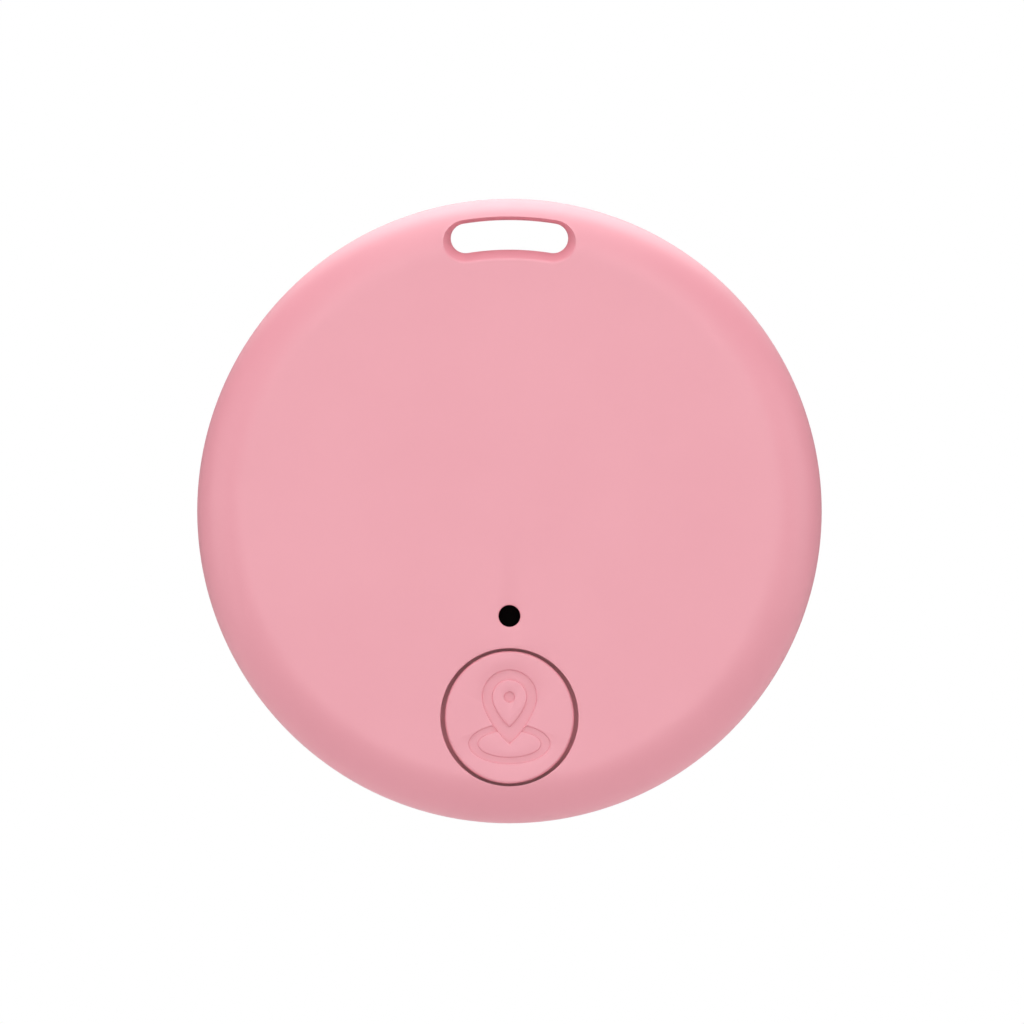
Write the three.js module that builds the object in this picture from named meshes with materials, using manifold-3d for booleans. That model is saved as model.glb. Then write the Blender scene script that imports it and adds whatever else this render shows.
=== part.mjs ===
// Bluetooth tracker tag: a round coin-cell tracker with a lanyard slot and a push button.
//
// Millimetres. Everything is built on the bench: x to the right, y towards the lanyard slot and
// z from the rear face up to the front face. The last group stands the tag up, as it hangs from
// its slot: front face towards -Y, slot at the top (+Z), origin where a cord bears in the slot.

import * as THREE from 'three';
import { mergeVertices } from 'three/addons/utils/BufferGeometryUtils.js';
import Module from 'manifold-3d';

const wasm = await Module();
wasm.setup();

// ---------------------------------------------------------------- driving dimensions

// case: it is built round the coin cell, so its diameter and thickness are worked out below
const FRONT_WALL = 1.0;
const REAR_WALL = 1.0;
const SIDE_WALL = 1.2;
const FRONT_ROUND_WIDTH = 2.95; // how far the front rounding reaches in from the rim
const FRONT_ROUND_DEPTH = 3.05; // how far it reaches down the side
const REAR_ROUND = 2.4;
const SPLIT_HEIGHT = 2.6; // rear edge of the front shell, above the rear face
const SPLIT_REVEAL = 0.1; // open line between the two halves
const SKIRT_WALL = 0.75;
const SKIRT_CLEARANCE = 0.3;
const SNAP_BEAD_HEIGHT = 0.25;
const SNAP_BEAD_LENGTH = 0.6;
const PAD_RING_WALL = 0.6;
const PAD_RING_GAP = 0.3; // from the ring to the tray above it
const PRY_NOTCH_WIDTH = 5;
const PRY_NOTCH_DEPTH = 0.7;
const PRY_NOTCH_HEIGHT = 0.5;

// seal between the halves
const SEAL_LEDGE = 0.5;
const SEAL_LEDGE_DROP = 0.4; // the ledge lies this far below the start of the front rounding
const SEAL_THICKNESS = 0.29;
const SEAL_WIDTH = 0.4;

// lanyard slot
const SLOT_HEIGHT = 1.8; // radial height of the opening
const SLOT_HALF_LENGTH = 3.57;
const SLOT_EDGE_WALL = 1.3; // from the slot to the rim
const SLOT_BOSS_WALL = 0.8;
const SLOT_FLARE = 0.42; // how much wider the mouths are than the throat
const SLOT_FLARE_DEPTH = 1.2;
const SLOT_BOARD_CLEARANCE = 0.3;
const SLOT_SKIRT_CLEARANCE = 0.15;

// push button
const BUTTON_RADIUS = 3.98;
const BUTTON_HOLE_CLEARANCE = 0.17;
const BUTTON_RIM_DISTANCE = 2.47; // from the rim of the case to the button's side
const BUTTON_RECESS = 0.05; // the cap's face lies this far below the case's face
const BUTTON_EDGE_ROUND = 0.3;
const BUTTON_TOP_WALL = 0.6;
const BUTTON_SKIRT_WALL = 0.78;
const BUTTON_FLANGE_REACH = 0.62; // flange past the cap's side
const BUTTON_FLANGE_THICKNESS = 0.28;
const BUTTON_FLANGE_CLEARANCE = 0.25;
const BUTTON_BOSS_RADIUS = 0.6;
const BUTTON_TRAVEL = 0.25;
const KEY_POST_RADIUS = 0.4;
const KEY_POST_CLEARANCE = 0.1;
const KEY_POST_LENGTH = 0.85;
const KEY_POST_GAP = 0.2; // from the button's hole to the post

// pictogram sunk in the button: a map pin standing in a ring
const PIN_HEAD_RADIUS = 1.68;
const PIN_ISLAND_RADIUS = 1.03;
const PIN_EYE_RADIUS = 0.34;
const PIN_TIP_RATIO = 1.68; // tip distance from the head's centre, in head radii
const PIN_ABOVE_CENTRE = 1.23; // head's centre above the button's axis
const PIN_GROOVE_DEPTH = 0.2;
const PIN_SHOULDER_ANGLE = -20; // where the sides leave the head's circle
const PIN_SIDE_REACH = 0.85; // how far they run on before they bend to the tip, in head radii
const RING_HALF_LENGTH = 2.5;
const RING_HALF_HEIGHT = 1.24;
const RING_BAND_SIDE = 0.6;
const RING_BAND_END = 0.45;
const RING_BELOW_CENTRE = 1.62;
const RING_GROOVE_DEPTH = 0.12;

// sound hole and mesh
const SOUND_HOLE_RADIUS = 0.665;
const SOUND_HOLE_BUTTON_GAP = 1.3; // material between the sound hole and the button hole
const MESH_RADIUS = 0.95;
const MESH_SHIFT = 0.12; // towards the slot, to clear the sounder's ridge
const MESH_THICKNESS = 0.07;
const MESH_ADHESIVE_THICKNESS = 0.07;
const MESH_ADHESIVE_WALL = 0.2;

// piezo sounder
const BUZZER_RADIUS = 7.5;
const BUZZER_PLATE_THICKNESS = 0.2;
const BUZZER_CERAMIC_RADIUS = 5;
const BUZZER_CERAMIC_THICKNESS = 0.12;
const BUZZER_RIDGE_WALL = 0.4;
const BUZZER_RIDGE_HEIGHT = 0.3;
const BUZZER_ADHESIVE_THICKNESS = 0.1;
const BUZZER_BUTTON_GAP = 0.25; // from the sounder to the button's flange
const LEAD_RADIUS = 0.11;
const LEAD_FOOT = 1.2; // how far past the sounder the leads reach the board
const LEAD_SPACING = 2.4;
const CERAMIC_LEAD_SHARE = 0.7; // how far out on the ceramic its lead is soldered

// coin cell
const CELL_DIAMETER = 20;
const CELL_HEIGHT = 3.2;
const CELL_SHEET = 0.25;
const CELL_CAP_STEP = 1.2; // from the can's side in to the cap's side
const CELL_EDGE_ROUND = 0.5;
const CELL_LIP_DROP = 0.15; // the can's lip lies this far below the cap's face
const CELL_FIT = 0.05;
const CELL_GASKET_WALL = 0.2;
const CELL_GASKET_LIFT = 0.65; // the gasket's foot above the can's outer face
const CATHODE_HEIGHT = 1.47;
const STACK_CLEARANCE = 0.3;
const SEPARATOR_THICKNESS = 0.1;
const SEPARATOR_LAP = 0.15;
const PAD_THICKNESS = 0.4;
const PAD_MARGIN = 1; // the foam pad stops this far inside the cell's edge

// cell tray and contacts
const CONTACT_SPACE = 0.54; // between the cell and the board
const CONTACT_SHEET = 0.12;
const CONTACT_WIDTH = 3.4;
const LEAF_LENGTH = 9; // the middle contact's leaf, end to end
const TRAY_CLEARANCE = 0.15;
const TRAY_WALL = 0.85;
const TRAY_LIFT = 0.57; // the tray's rear edge above the cell's rear face
const TRAY_WINDOW_CLEARANCE = 0.5;
const TRAY_HOOP = 0.8; // the unbroken hoop under the windows
const PEG_RADIUS = 0.45;
const PEG_EAR_RADIUS = 0.8;
const PEG_EAR_THICKNESS = 1.0;
const PEG_EAR_OFFSET = 0.6; // the pegs' axes, outside the tray's wall
const PEG_ANGLES = [45, 135, 225, 315];
const CONTACT_ANGLES = { upper: 90, lower: 270 };
const CONTACT_FOOT = 1.7; // how far the side contacts' feet reach past the tray

// circuit board and its posts
const BOARD_THICKNESS = 0.8;
const BOARD_RING_WIDTH = 5.5; // board outside the tray, where the parts stand
const BOARD_RIM_DISTANCE = 2.5; // from the rim of the case to the board's edge
const FRONT_SPACE = 1.2; // between the board and the front wall
const POST_RIM_DISTANCE = 4.2; // from the rim of the case to the posts' axes
const POST_RADIUS = 1.1;
const POST_PIN_RADIUS = 0.5;
const STAKE_HEAD_RADIUS = 0.85;
const STAKE_HEAD_HEIGHT = 0.3;
const PIN_CLEARANCE = 0.1;
const POST_ANGLES = [38, 142, 218, 322];

// parts on the board's rear side, in the ring between the tray and the board's edge: where they
// stand round the ring, how far out across it (0 to 1), and their size outwards, along and down
const RING_PARTS = [
  { name: 'bluetooth_chip', angle: 180, out: 0.49, size: [4.0, 4.0, 0.85], look: 'blackResin' },
  { name: 'radio_crystal', angle: 204, out: 0.48, size: [1.6, 2.0, 0.5], look: 'crystalCan' },
  { name: 'clock_crystal', angle: 157, out: 0.48, size: [1.5, 3.2, 0.75], look: 'crystalCan' },
  { name: 'chip_antenna', angle: 0, out: 0.7, size: [2.0, 5.2, 0.9], look: 'antennaCeramic' },
  { name: 'matching_inductor', angle: -8, out: 0.3, size: [0.5, 1.0, 0.5], look: 'ferrite' },
  { name: 'matching_capacitor', angle: 8, out: 0.3, size: [0.5, 1.0, 0.5], look: 'capacitorCeramic' },
  { name: 'decoupling_capacitor_1', angle: 115, out: 0.45, size: [1.6, 0.8, 0.8], look: 'capacitorCeramic' },
  { name: 'decoupling_capacitor_2', angle: 122, out: 0.45, size: [1.6, 0.8, 0.8], look: 'capacitorCeramic' },
  { name: 'decoupling_capacitor_3', angle: 232, out: 0.45, size: [1.6, 0.8, 0.8], look: 'capacitorCeramic' },
  { name: 'decoupling_capacitor_4', angle: 239, out: 0.45, size: [1.6, 0.8, 0.8], look: 'capacitorCeramic' },
  { name: 'resistor_1', angle: 53, out: 0.33, size: [1.0, 0.5, 0.35], look: 'blackResin' },
  { name: 'resistor_2', angle: 58, out: 0.33, size: [1.0, 0.5, 0.35], look: 'blackResin' },
  { name: 'bulk_capacitor', angle: 68, out: 0.42, size: [1.6, 3.2, 1.5], look: 'tantalumResin' },
  { name: 'boost_inductor', angle: 300, out: 0.47, size: [3.0, 3.0, 1.2], look: 'ferrite' },
];
const TRANSISTOR = { angle: 286, out: 0.5, size: [1.3, 2.9, 1.0] };
const TRANSISTOR_LEG = { reach: 0.6, width: 0.4, thickness: 0.15, spacing: 0.95 };

// push switch
const SWITCH_SIDE = 3.0;
const SWITCH_BASE_HEIGHT = 0.5;
const SWITCH_FLOOR = 0.15;
const SWITCH_WELL_RADIUS = 1.15;
const SWITCH_SHEET = 0.08;
const SWITCH_TAB_THICKNESS = 0.1;
const SWITCH_COVER_DEPTH = 2.6;
const SWITCH_HOLE_RADIUS = 0.75;
const DOME_RADIUS = 1.05;
const DOME_RISE = 0.16;
const DOME_SHEET = 0.05;
const PLUNGER_STEM_RADIUS = 0.68;
const PLUNGER_FOOT_RADIUS = 0.95;
const PLUNGER_FOOT_THICKNESS = 0.08;

const SEAT_GAP = 0.03; // left between pieces that rest on each other
const OVERSHOOT = 1; // how far a cutter runs past the face it opens

// facets
const CASE_SEGMENTS = 60;
const ROUND_SEGMENTS = 36;
const SMALL_SEGMENTS = 16;
const ROUNDING_STEPS = 4;
const CURVE_STEPS = 6;
const SHEET_EDGE_STEPS = 3;
const LEAD_SIDES = 8;
const LEAD_STEPS = 8;
const MERGE_TOLERANCE = 1e-4;

// ---------------------------------------------------------------- levels and radii

const CELL_RADIUS = CELL_DIAMETER / 2;
const TRAY_INNER = CELL_RADIUS + TRAY_CLEARANCE;
const TRAY_OUTER = TRAY_INNER + TRAY_WALL;
const BOARD_RADIUS = TRAY_OUTER + BOARD_RING_WIDTH;
const CASE_RADIUS = BOARD_RADIUS + BOARD_RIM_DISTANCE;

const PAD_BOTTOM = REAR_WALL + SEAT_GAP;
const PAD_TOP = PAD_BOTTOM + PAD_THICKNESS;
const CELL_BOTTOM = PAD_TOP + SEAT_GAP;
const CELL_TOP = CELL_BOTTOM + CELL_HEIGHT;
const BOARD_BOTTOM = CELL_TOP + CONTACT_SPACE;
const BOARD_TOP = BOARD_BOTTOM + BOARD_THICKNESS;
const FRONT_INSIDE = BOARD_TOP + FRONT_SPACE;
const CASE_THICKNESS = FRONT_INSIDE + FRONT_WALL;
const ROOT_HEIGHT = FRONT_INSIDE + FRONT_WALL / 2; // what stands under the front wall is rooted here
const SOLDER_FACE = BOARD_BOTTOM - SEAT_GAP; // where parts sit on the board's rear side
const TRAY_BOTTOM = CELL_BOTTOM + TRAY_LIFT;

const FACE_RADIUS = CASE_RADIUS - FRONT_ROUND_WIDTH; // flat part of the front face
const FRONT_ROUND_START = CASE_THICKNESS - FRONT_ROUND_DEPTH;
const SHELL_BORE = CASE_RADIUS - SIDE_WALL;
const LEDGE_BORE = SHELL_BORE - SEAL_LEDGE;
const LEDGE_HEIGHT = FRONT_ROUND_START - SEAL_LEDGE_DROP;
const SEAL_TOP = LEDGE_HEIGHT - SEAT_GAP;
const SEAL_BOTTOM = SEAL_TOP - SEAL_THICKNESS;
const COVER_EDGE = SPLIT_HEIGHT - SPLIT_REVEAL;
const SKIRT_TOP = SEAL_BOTTOM - SEAT_GAP;
const SKIRT_OUTER = SHELL_BORE - SKIRT_CLEARANCE;
const SKIRT_INNER = SKIRT_OUTER - SKIRT_WALL;

const CELL_CAP_RADIUS = CELL_RADIUS - CELL_CAP_STEP;
const CAN_LIP_TOP = CELL_TOP - CELL_LIP_DROP;
const GASKET_BOTTOM = CELL_BOTTOM + CELL_GASKET_LIFT;
const GASKET_LIP_OUTER = CELL_CAP_RADIUS + CELL_FIT + CELL_GASKET_WALL;
const STACK_RADIUS = CELL_CAP_RADIUS - CELL_SHEET - STACK_CLEARANCE;
const CATHODE_BOTTOM = CELL_BOTTOM + CELL_SHEET + SEAT_GAP;
const CATHODE_TOP = CATHODE_BOTTOM + CATHODE_HEIGHT;
const SEPARATOR_BOTTOM = CATHODE_TOP + SEAT_GAP;
const SEPARATOR_TOP = SEPARATOR_BOTTOM + SEPARATOR_THICKNESS;

const SLOT_OUTER = CASE_RADIUS - SLOT_EDGE_WALL;
const SLOT_CENTRELINE = SLOT_OUTER - SLOT_HEIGHT / 2;

const BUTTON_Y = -(CASE_RADIUS - BUTTON_RIM_DISTANCE - BUTTON_RADIUS);
const BUTTON_HOLE_RADIUS = BUTTON_RADIUS + BUTTON_HOLE_CLEARANCE;
const BUTTON_FACE = CASE_THICKNESS - BUTTON_RECESS;
const FLANGE_RADIUS = BUTTON_RADIUS + BUTTON_FLANGE_REACH;
const FLANGE_TOP = FRONT_INSIDE - SEAT_GAP;
const FLANGE_BOTTOM = FLANGE_TOP - BUTTON_FLANGE_THICKNESS;
const BUTTON_FOOT = FLANGE_BOTTOM - SEAT_GAP; // lower end of the boss that works the plunger
const KEY_POST_X = BUTTON_HOLE_RADIUS + KEY_POST_GAP + KEY_POST_RADIUS;

const SOUND_HOLE_Y = BUTTON_Y + BUTTON_HOLE_RADIUS + SOUND_HOLE_BUTTON_GAP + SOUND_HOLE_RADIUS;
const BUZZER_Y = BUTTON_Y + FLANGE_RADIUS + BUZZER_BUTTON_GAP + BUZZER_RADIUS;
const BUZZER_ADHESIVE_TOP = FRONT_INSIDE - BUZZER_RIDGE_HEIGHT - SEAT_GAP;
const BUZZER_ADHESIVE_BOTTOM = BUZZER_ADHESIVE_TOP - BUZZER_ADHESIVE_THICKNESS;
const BUZZER_PLATE_TOP = BUZZER_ADHESIVE_BOTTOM - SEAT_GAP;
const BUZZER_PLATE_BOTTOM = BUZZER_PLATE_TOP - BUZZER_PLATE_THICKNESS;
const BUZZER_CERAMIC_TOP = BUZZER_PLATE_BOTTOM - SEAT_GAP;
const BUZZER_CERAMIC_BOTTOM = BUZZER_CERAMIC_TOP - BUZZER_CERAMIC_THICKNESS;

const SWITCH_BOTTOM = BOARD_TOP + SEAT_GAP;
const SWITCH_WELL_FLOOR = SWITCH_BOTTOM + SWITCH_FLOOR;
const SWITCH_BASE_TOP = SWITCH_BOTTOM + SWITCH_BASE_HEIGHT;
const SWITCH_COVER_BOTTOM = SWITCH_BASE_TOP + SEAT_GAP;
const DOME_BOTTOM = SWITCH_WELL_FLOOR + SEAT_GAP;
const DOME_TOP = DOME_BOTTOM + DOME_RISE + DOME_SHEET;
const PLUNGER_BOTTOM = DOME_TOP + SEAT_GAP;
const PLUNGER_TOP = BUTTON_FOOT - SEAT_GAP;

const POST_ORBIT = CASE_RADIUS - POST_RIM_DISTANCE;
const PEG_ORBIT = TRAY_OUTER + PEG_EAR_OFFSET;

// ---------------------------------------------------------------- shape helpers

const radians = THREE.MathUtils.degToRad;

/** Points on an ellipse from one angle to another, in degrees, both ends included. */
function ellipseArc(x, y, radiusX, radiusY, from, to, steps) {
  return Array.from({ length: steps + 1 }, (_, step) => {
    const angle = radians(from + ((to - from) * step) / steps);
    return new THREE.Vector2(x + radiusX * Math.cos(angle), y + radiusY * Math.sin(angle));
  });
}

function circleArc(x, y, radius, from, to, steps) {
  return ellipseArc(x, y, radius, radius, from, to, steps);
}

function circle(x, y, radius, steps) {
  return circleArc(x, y, radius, 0, 360, steps);
}

/** A closed outline from runs of points, with points that repeat at the joins left out. */
function outline(...runs) {
  const points = runs.flat();
  const isNew = (point, index) => point.distanceTo(points.at(index - 1)) > MERGE_TOLERANCE;
  return new THREE.Shape(points.filter(isNew));
}

/** Turns a profile of [radius, height] pairs round the z axis, moved to x, y. */
function turned(profile, { x = 0, y = 0, segments = ROUND_SEGMENTS } = {}) {
  const points = profile.map((point) => (Array.isArray(point) ? new THREE.Vector2(...point) : point));
  return new THREE.LatheGeometry(points, segments).rotateX(Math.PI / 2).translate(x, y, 0);
}

/** A disc or a cylinder between two heights. */
function disc(radius, bottom, top, place = {}) {
  return turned([[0, bottom], [radius, bottom], [radius, top], [0, top]], place);
}

/** A ring of rectangular section between two heights. */
function ring(inner, outer, bottom, top, place = {}) {
  return turned([[inner, bottom], [outer, bottom], [outer, top], [inner, top], [inner, bottom]], place);
}

/** A flat outline raised between two heights. */
function prism(shape, bottom, top) {
  const options = { depth: top - bottom, bevelEnabled: false, curveSegments: SMALL_SEGMENTS };
  return new THREE.ExtrudeGeometry(shape, options).translate(0, 0, bottom);
}

/** A rectangular block centred on x, y between two heights. */
function block(sizeX, sizeY, bottom, top, x = 0, y = 0) {
  return new THREE.BoxGeometry(sizeX, sizeY, top - bottom).translate(x, y, (bottom + top) / 2);
}

/** Sheet metal: a path of [across, height] points given a thickness on its left and a width. */
function bentStrip(path, thickness, width) {
  const points = path.map((point) => new THREE.Vector2(...point));
  const normals = points.slice(1).map((point, index) => {
    const along = point.clone().sub(points[index]).normalize();
    return new THREE.Vector2(-along.y, along.x);
  });
  const far = points.map((point, index) => {
    const before = normals[Math.max(index - 1, 0)];
    const after = normals[Math.min(index, normals.length - 1)];
    const mitre = before.clone().add(after).normalize();
    return point.clone().addScaledVector(mitre, thickness / mitre.dot(before));
  });
  const shape = new THREE.Shape([...points, ...far.reverse()]);
  const options = { depth: width, bevelEnabled: false };
  return new THREE.ExtrudeGeometry(shape, options).translate(0, 0, -width / 2).rotateX(Math.PI / 2);
}

/** Turns a piece drawn along +x to its own angle round the case. */
function atAngle(geometry, angle) {
  return geometry.rotateZ(radians(angle));
}

/** The solid that a closed geometry encloses. */
function solidOf(shape) {
  if (!shape.isBufferGeometry) return shape;
  const bare = shape.clone();
  bare.deleteAttribute('normal');
  bare.deleteAttribute('uv');
  const merged = mergeVertices(bare, MERGE_TOLERANCE);
  const corners = merged.index.array;
  const kept = [];
  for (let first = 0; first < corners.length; first += 3) {
    const [a, b, c] = corners.slice(first, first + 3);
    if (a !== b && b !== c && c !== a) kept.push(a, b, c);
  }
  const vertProperties = Float32Array.from(merged.attributes.position.array);
  const triVerts = Uint32Array.from(kept);
  return new wasm.Manifold(new wasm.Mesh({ numProp: 3, vertProperties, triVerts }));
}

function join(first, ...others) {
  return others.reduce((sum, other) => sum.add(solidOf(other)), solidOf(first));
}

function cut(first, ...tools) {
  return tools.reduce((rest, tool) => rest.subtract(solidOf(tool)), solidOf(first));
}

/** The geometry of a solid, ready for a mesh. */
function geometryOf(shape) {
  if (shape.isBufferGeometry) return shape;
  const { vertProperties, triVerts } = shape.getMesh();
  const geometry = new THREE.BufferGeometry();
  geometry.setAttribute('position', new THREE.BufferAttribute(vertProperties, 3));
  geometry.setIndex(new THREE.BufferAttribute(triVerts, 1));
  geometry.computeVertexNormals();
  return geometry;
}

// ---------------------------------------------------------------- materials

function material(color, roughness, metalness = 0) {
  return new THREE.MeshStandardMaterial({ color, roughness, metalness });
}

const looks = {
  pinkPlastic: () => material(0xf0aeb8, 0.45),
  blackMesh: () => material(0x060606, 0.95),
  clearAdhesive: () => material(0xd9d4c4, 0.5),
  blackFoam: () => material(0x1d1d1f, 0.95),
  greySilicone: () => material(0xb9bcc0, 0.6),
  trayPlastic: () => material(0xe9e6df, 0.5),
  blackResin: () => material(0x17181a, 0.55),
  greenBoard: () => material(0x1c5a3a, 0.4),
  cellSteel: () => material(0xc9cbcd, 0.28, 1),
  springSteel: () => material(0xd2cdbf, 0.3, 1),
  goldPlate: () => material(0xd8b25a, 0.3, 1),
  brassSheet: () => material(0xc9a558, 0.35, 1),
  piezoCeramic: () => material(0xd8d5cb, 0.5),
  crystalCan: () => material(0xc3c5c7, 0.25, 1),
  capacitorCeramic: () => material(0xa98a63, 0.5),
  tantalumResin: () => material(0xd39a2c, 0.5),
  antennaCeramic: () => material(0xdfe3e6, 0.35),
  ferrite: () => material(0x3a3b3d, 0.6),
  nylon: () => material(0x3c4a58, 0.5),
  lithium: () => material(0xa8abae, 0.45, 1),
  manganese: () => material(0x26251f, 0.9),
  separatorFleece: () => material(0xf0efe9, 0.9),
  redSleeve: () => material(0xb3261e, 0.5),
  blackSleeve: () => material(0x141414, 0.5),
};

// ---------------------------------------------------------------- lanyard slot

/** The slot's outline, grown by a margin: an arc-shaped slot with round ends. */
function slotOutline(margin) {
  const half = SLOT_HEIGHT / 2 + margin;
  const endX = SLOT_HALF_LENGTH - SLOT_HEIGHT / 2;
  const spread = THREE.MathUtils.radToDeg(Math.asin(endX / SLOT_CENTRELINE));
  const endY = Math.sqrt(SLOT_CENTRELINE ** 2 - endX ** 2);
  const right = 90 - spread;
  const left = 90 + spread;
  return outline(
    circleArc(0, 0, SLOT_CENTRELINE + half, right, left, ROUNDING_STEPS),
    circleArc(-endX, endY, half, left, left + 180, CURVE_STEPS),
    circleArc(0, 0, SLOT_CENTRELINE - half, left, right, ROUNDING_STEPS),
    circleArc(endX, endY, half, right + 180, right + 360, CURVE_STEPS),
  );
}

/** One flared mouth: the throat's outline at its foot, grown by the flare at the case's face. */
function slotMouth() {
  const options = {
    depth: OVERSHOOT,
    bevelThickness: SLOT_FLARE_DEPTH,
    bevelSize: SLOT_FLARE,
    bevelSegments: 1,
  };
  return new THREE.ExtrudeGeometry(slotOutline(0), options);
}

/** Everything the slot takes out of the two halves: a throat right through and two mouths. */
function slotCutters() {
  return [
    prism(slotOutline(0), -OVERSHOOT, CASE_THICKNESS + OVERSHOOT),
    slotMouth().translate(0, 0, CASE_THICKNESS),
    slotMouth().rotateY(Math.PI),
  ];
}

// ---------------------------------------------------------------- case

/** A point on a circle round the case's axis, as the place of a small turned piece. */
function orbitPlace(orbit, angle) {
  const turn = radians(angle);
  return { x: orbit * Math.cos(turn), y: orbit * Math.sin(turn), segments: SMALL_SEGMENTS };
}

/** A post under the front wall, with a pin through the board and its staked head. */
function boardPost(angle) {
  const shoulder = BOARD_TOP + SEAT_GAP;
  const headTop = BOARD_BOTTOM - SEAT_GAP;
  const headBottom = headTop - STAKE_HEAD_HEIGHT;
  const profile = [
    [0, headBottom],
    [POST_PIN_RADIUS, headBottom],
    [STAKE_HEAD_RADIUS, headTop],
    [POST_PIN_RADIUS, headTop],
    [POST_PIN_RADIUS, shoulder],
    [POST_RADIUS, shoulder],
    [POST_RADIUS, ROOT_HEIGHT],
    [0, ROOT_HEIGHT],
  ];
  return turned(profile, orbitPlace(POST_ORBIT, angle));
}

function keyPosts(radius) {
  const bottom = FRONT_INSIDE - KEY_POST_LENGTH;
  return [-KEY_POST_X, KEY_POST_X].map((x) =>
    disc(radius, bottom, ROOT_HEIGHT, { x, y: BUTTON_Y, segments: SMALL_SEGMENTS }));
}

/** The outside of the front half, as one full body. */
function frontBody() {
  const rounding = ellipseArc(FACE_RADIUS, FRONT_ROUND_START, FRONT_ROUND_WIDTH, FRONT_ROUND_DEPTH,
    0, 90, ROUNDING_STEPS * 2);
  const profile = [[0, SPLIT_HEIGHT], [CASE_RADIUS, SPLIT_HEIGHT], ...rounding, [0, CASE_THICKNESS]];
  return turned(profile, { segments: CASE_SEGMENTS });
}

/** The space inside the front half, before the slot's boss and the posts are left standing in it. */
function frontCavity() {
  const rounding = ellipseArc(FACE_RADIUS, FRONT_ROUND_START, LEDGE_BORE - FACE_RADIUS,
    FRONT_ROUND_DEPTH - FRONT_WALL, 0, 90, ROUNDING_STEPS);
  const profile = [
    [0, SPLIT_HEIGHT - OVERSHOOT],
    [SHELL_BORE, SPLIT_HEIGHT - OVERSHOOT],
    [SHELL_BORE, LEDGE_HEIGHT],
    [LEDGE_BORE, LEDGE_HEIGHT],
    ...rounding,
    [0, FRONT_INSIDE],
  ];
  return turned(profile, { segments: CASE_SEGMENTS });
}

function frontShell() {
  const buttonPlace = { x: 0, y: BUTTON_Y };
  const holePlace = { x: 0, y: SOUND_HOLE_Y, segments: SMALL_SEGMENTS };
  const buzzerPlace = { x: 0, y: BUZZER_Y };
  const flangePocket = disc(FLANGE_RADIUS + BUTTON_FLANGE_CLEARANCE,
    FLANGE_BOTTOM - BUTTON_TRAVEL - BUTTON_HOLE_CLEARANCE, FRONT_INSIDE, buttonPlace);
  const standing = [
    prism(slotOutline(SLOT_BOSS_WALL), SPLIT_HEIGHT - OVERSHOOT, ROOT_HEIGHT),
    ring(BUZZER_RADIUS - BUZZER_RIDGE_WALL, BUZZER_RADIUS,
      FRONT_INSIDE - BUZZER_RIDGE_HEIGHT, ROOT_HEIGHT, buzzerPlace),
    ...POST_ANGLES.map(boardPost),
    ...keyPosts(KEY_POST_RADIUS),
  ];
  const inside = cut(join(frontCavity(), flangePocket), ...standing);
  return cut(
    frontBody(),
    inside,
    disc(BUTTON_HOLE_RADIUS, FRONT_INSIDE - OVERSHOOT, CASE_THICKNESS + OVERSHOOT, buttonPlace),
    disc(SOUND_HOLE_RADIUS, FRONT_INSIDE - FRONT_WALL / 4, CASE_THICKNESS + OVERSHOOT, holePlace),
    ...slotCutters(),
  );
}

/** The skirt that plugs into the front shell, with its snap bead. */
function coverSkirt() {
  const beadMiddle = (SPLIT_HEIGHT + SKIRT_TOP) / 2;
  const chamfer = SKIRT_WALL / 4;
  const profile = [
    [SKIRT_INNER, REAR_WALL],
    [SKIRT_OUTER, REAR_WALL],
    [SKIRT_OUTER, beadMiddle - SNAP_BEAD_LENGTH / 2],
    [SKIRT_OUTER + SNAP_BEAD_HEIGHT, beadMiddle],
    [SKIRT_OUTER, beadMiddle + SNAP_BEAD_LENGTH / 2],
    [SKIRT_OUTER, SKIRT_TOP - chamfer],
    [SKIRT_OUTER - chamfer, SKIRT_TOP],
    [SKIRT_INNER, SKIRT_TOP],
    [SKIRT_INNER, REAR_WALL],
  ];
  const skirt = turned(profile, { segments: CASE_SEGMENTS });
  const gap = prism(slotOutline(SLOT_BOSS_WALL + SLOT_SKIRT_CLEARANCE), COVER_EDGE, SKIRT_TOP + OVERSHOOT);
  return cut(skirt, gap);
}

function rearCover() {
  const rounding = ellipseArc(CASE_RADIUS - REAR_ROUND, REAR_ROUND, REAR_ROUND, REAR_ROUND,
    -90, 0, ROUNDING_STEPS);
  const profile = [[0, 0], ...rounding, [CASE_RADIUS, COVER_EDGE], [0, COVER_EDGE]];
  const body = turned(profile, { segments: CASE_SEGMENTS });
  const boss = prism(slotOutline(SLOT_BOSS_WALL), 0, COVER_EDGE);
  const space = cut(
    disc(SKIRT_INNER, REAR_WALL, COVER_EDGE + OVERSHOOT, { segments: CASE_SEGMENTS }),
    boss,
    ring(TRAY_INNER, TRAY_INNER + PAD_RING_WALL, 0, TRAY_BOTTOM - PAD_RING_GAP),
  );
  const pryNotch = block(PRY_NOTCH_WIDTH, PRY_NOTCH_DEPTH * 2,
    COVER_EDGE - PRY_NOTCH_HEIGHT, COVER_EDGE + OVERSHOOT, 0, -CASE_RADIUS);
  return cut(join(cut(body, space), coverSkirt()), pryNotch, ...slotCutters());
}

function coverSeal() {
  const outer = SHELL_BORE - SEAT_GAP;
  const full = ring(outer - SEAL_WIDTH, outer, SEAL_BOTTOM, SEAL_TOP, { segments: CASE_SEGMENTS });
  const boss = prism(slotOutline(SLOT_BOSS_WALL + SEAT_GAP), SEAL_BOTTOM - OVERSHOOT, SEAL_TOP + OVERSHOOT);
  return cut(full, boss);
}

// ---------------------------------------------------------------- button

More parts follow.
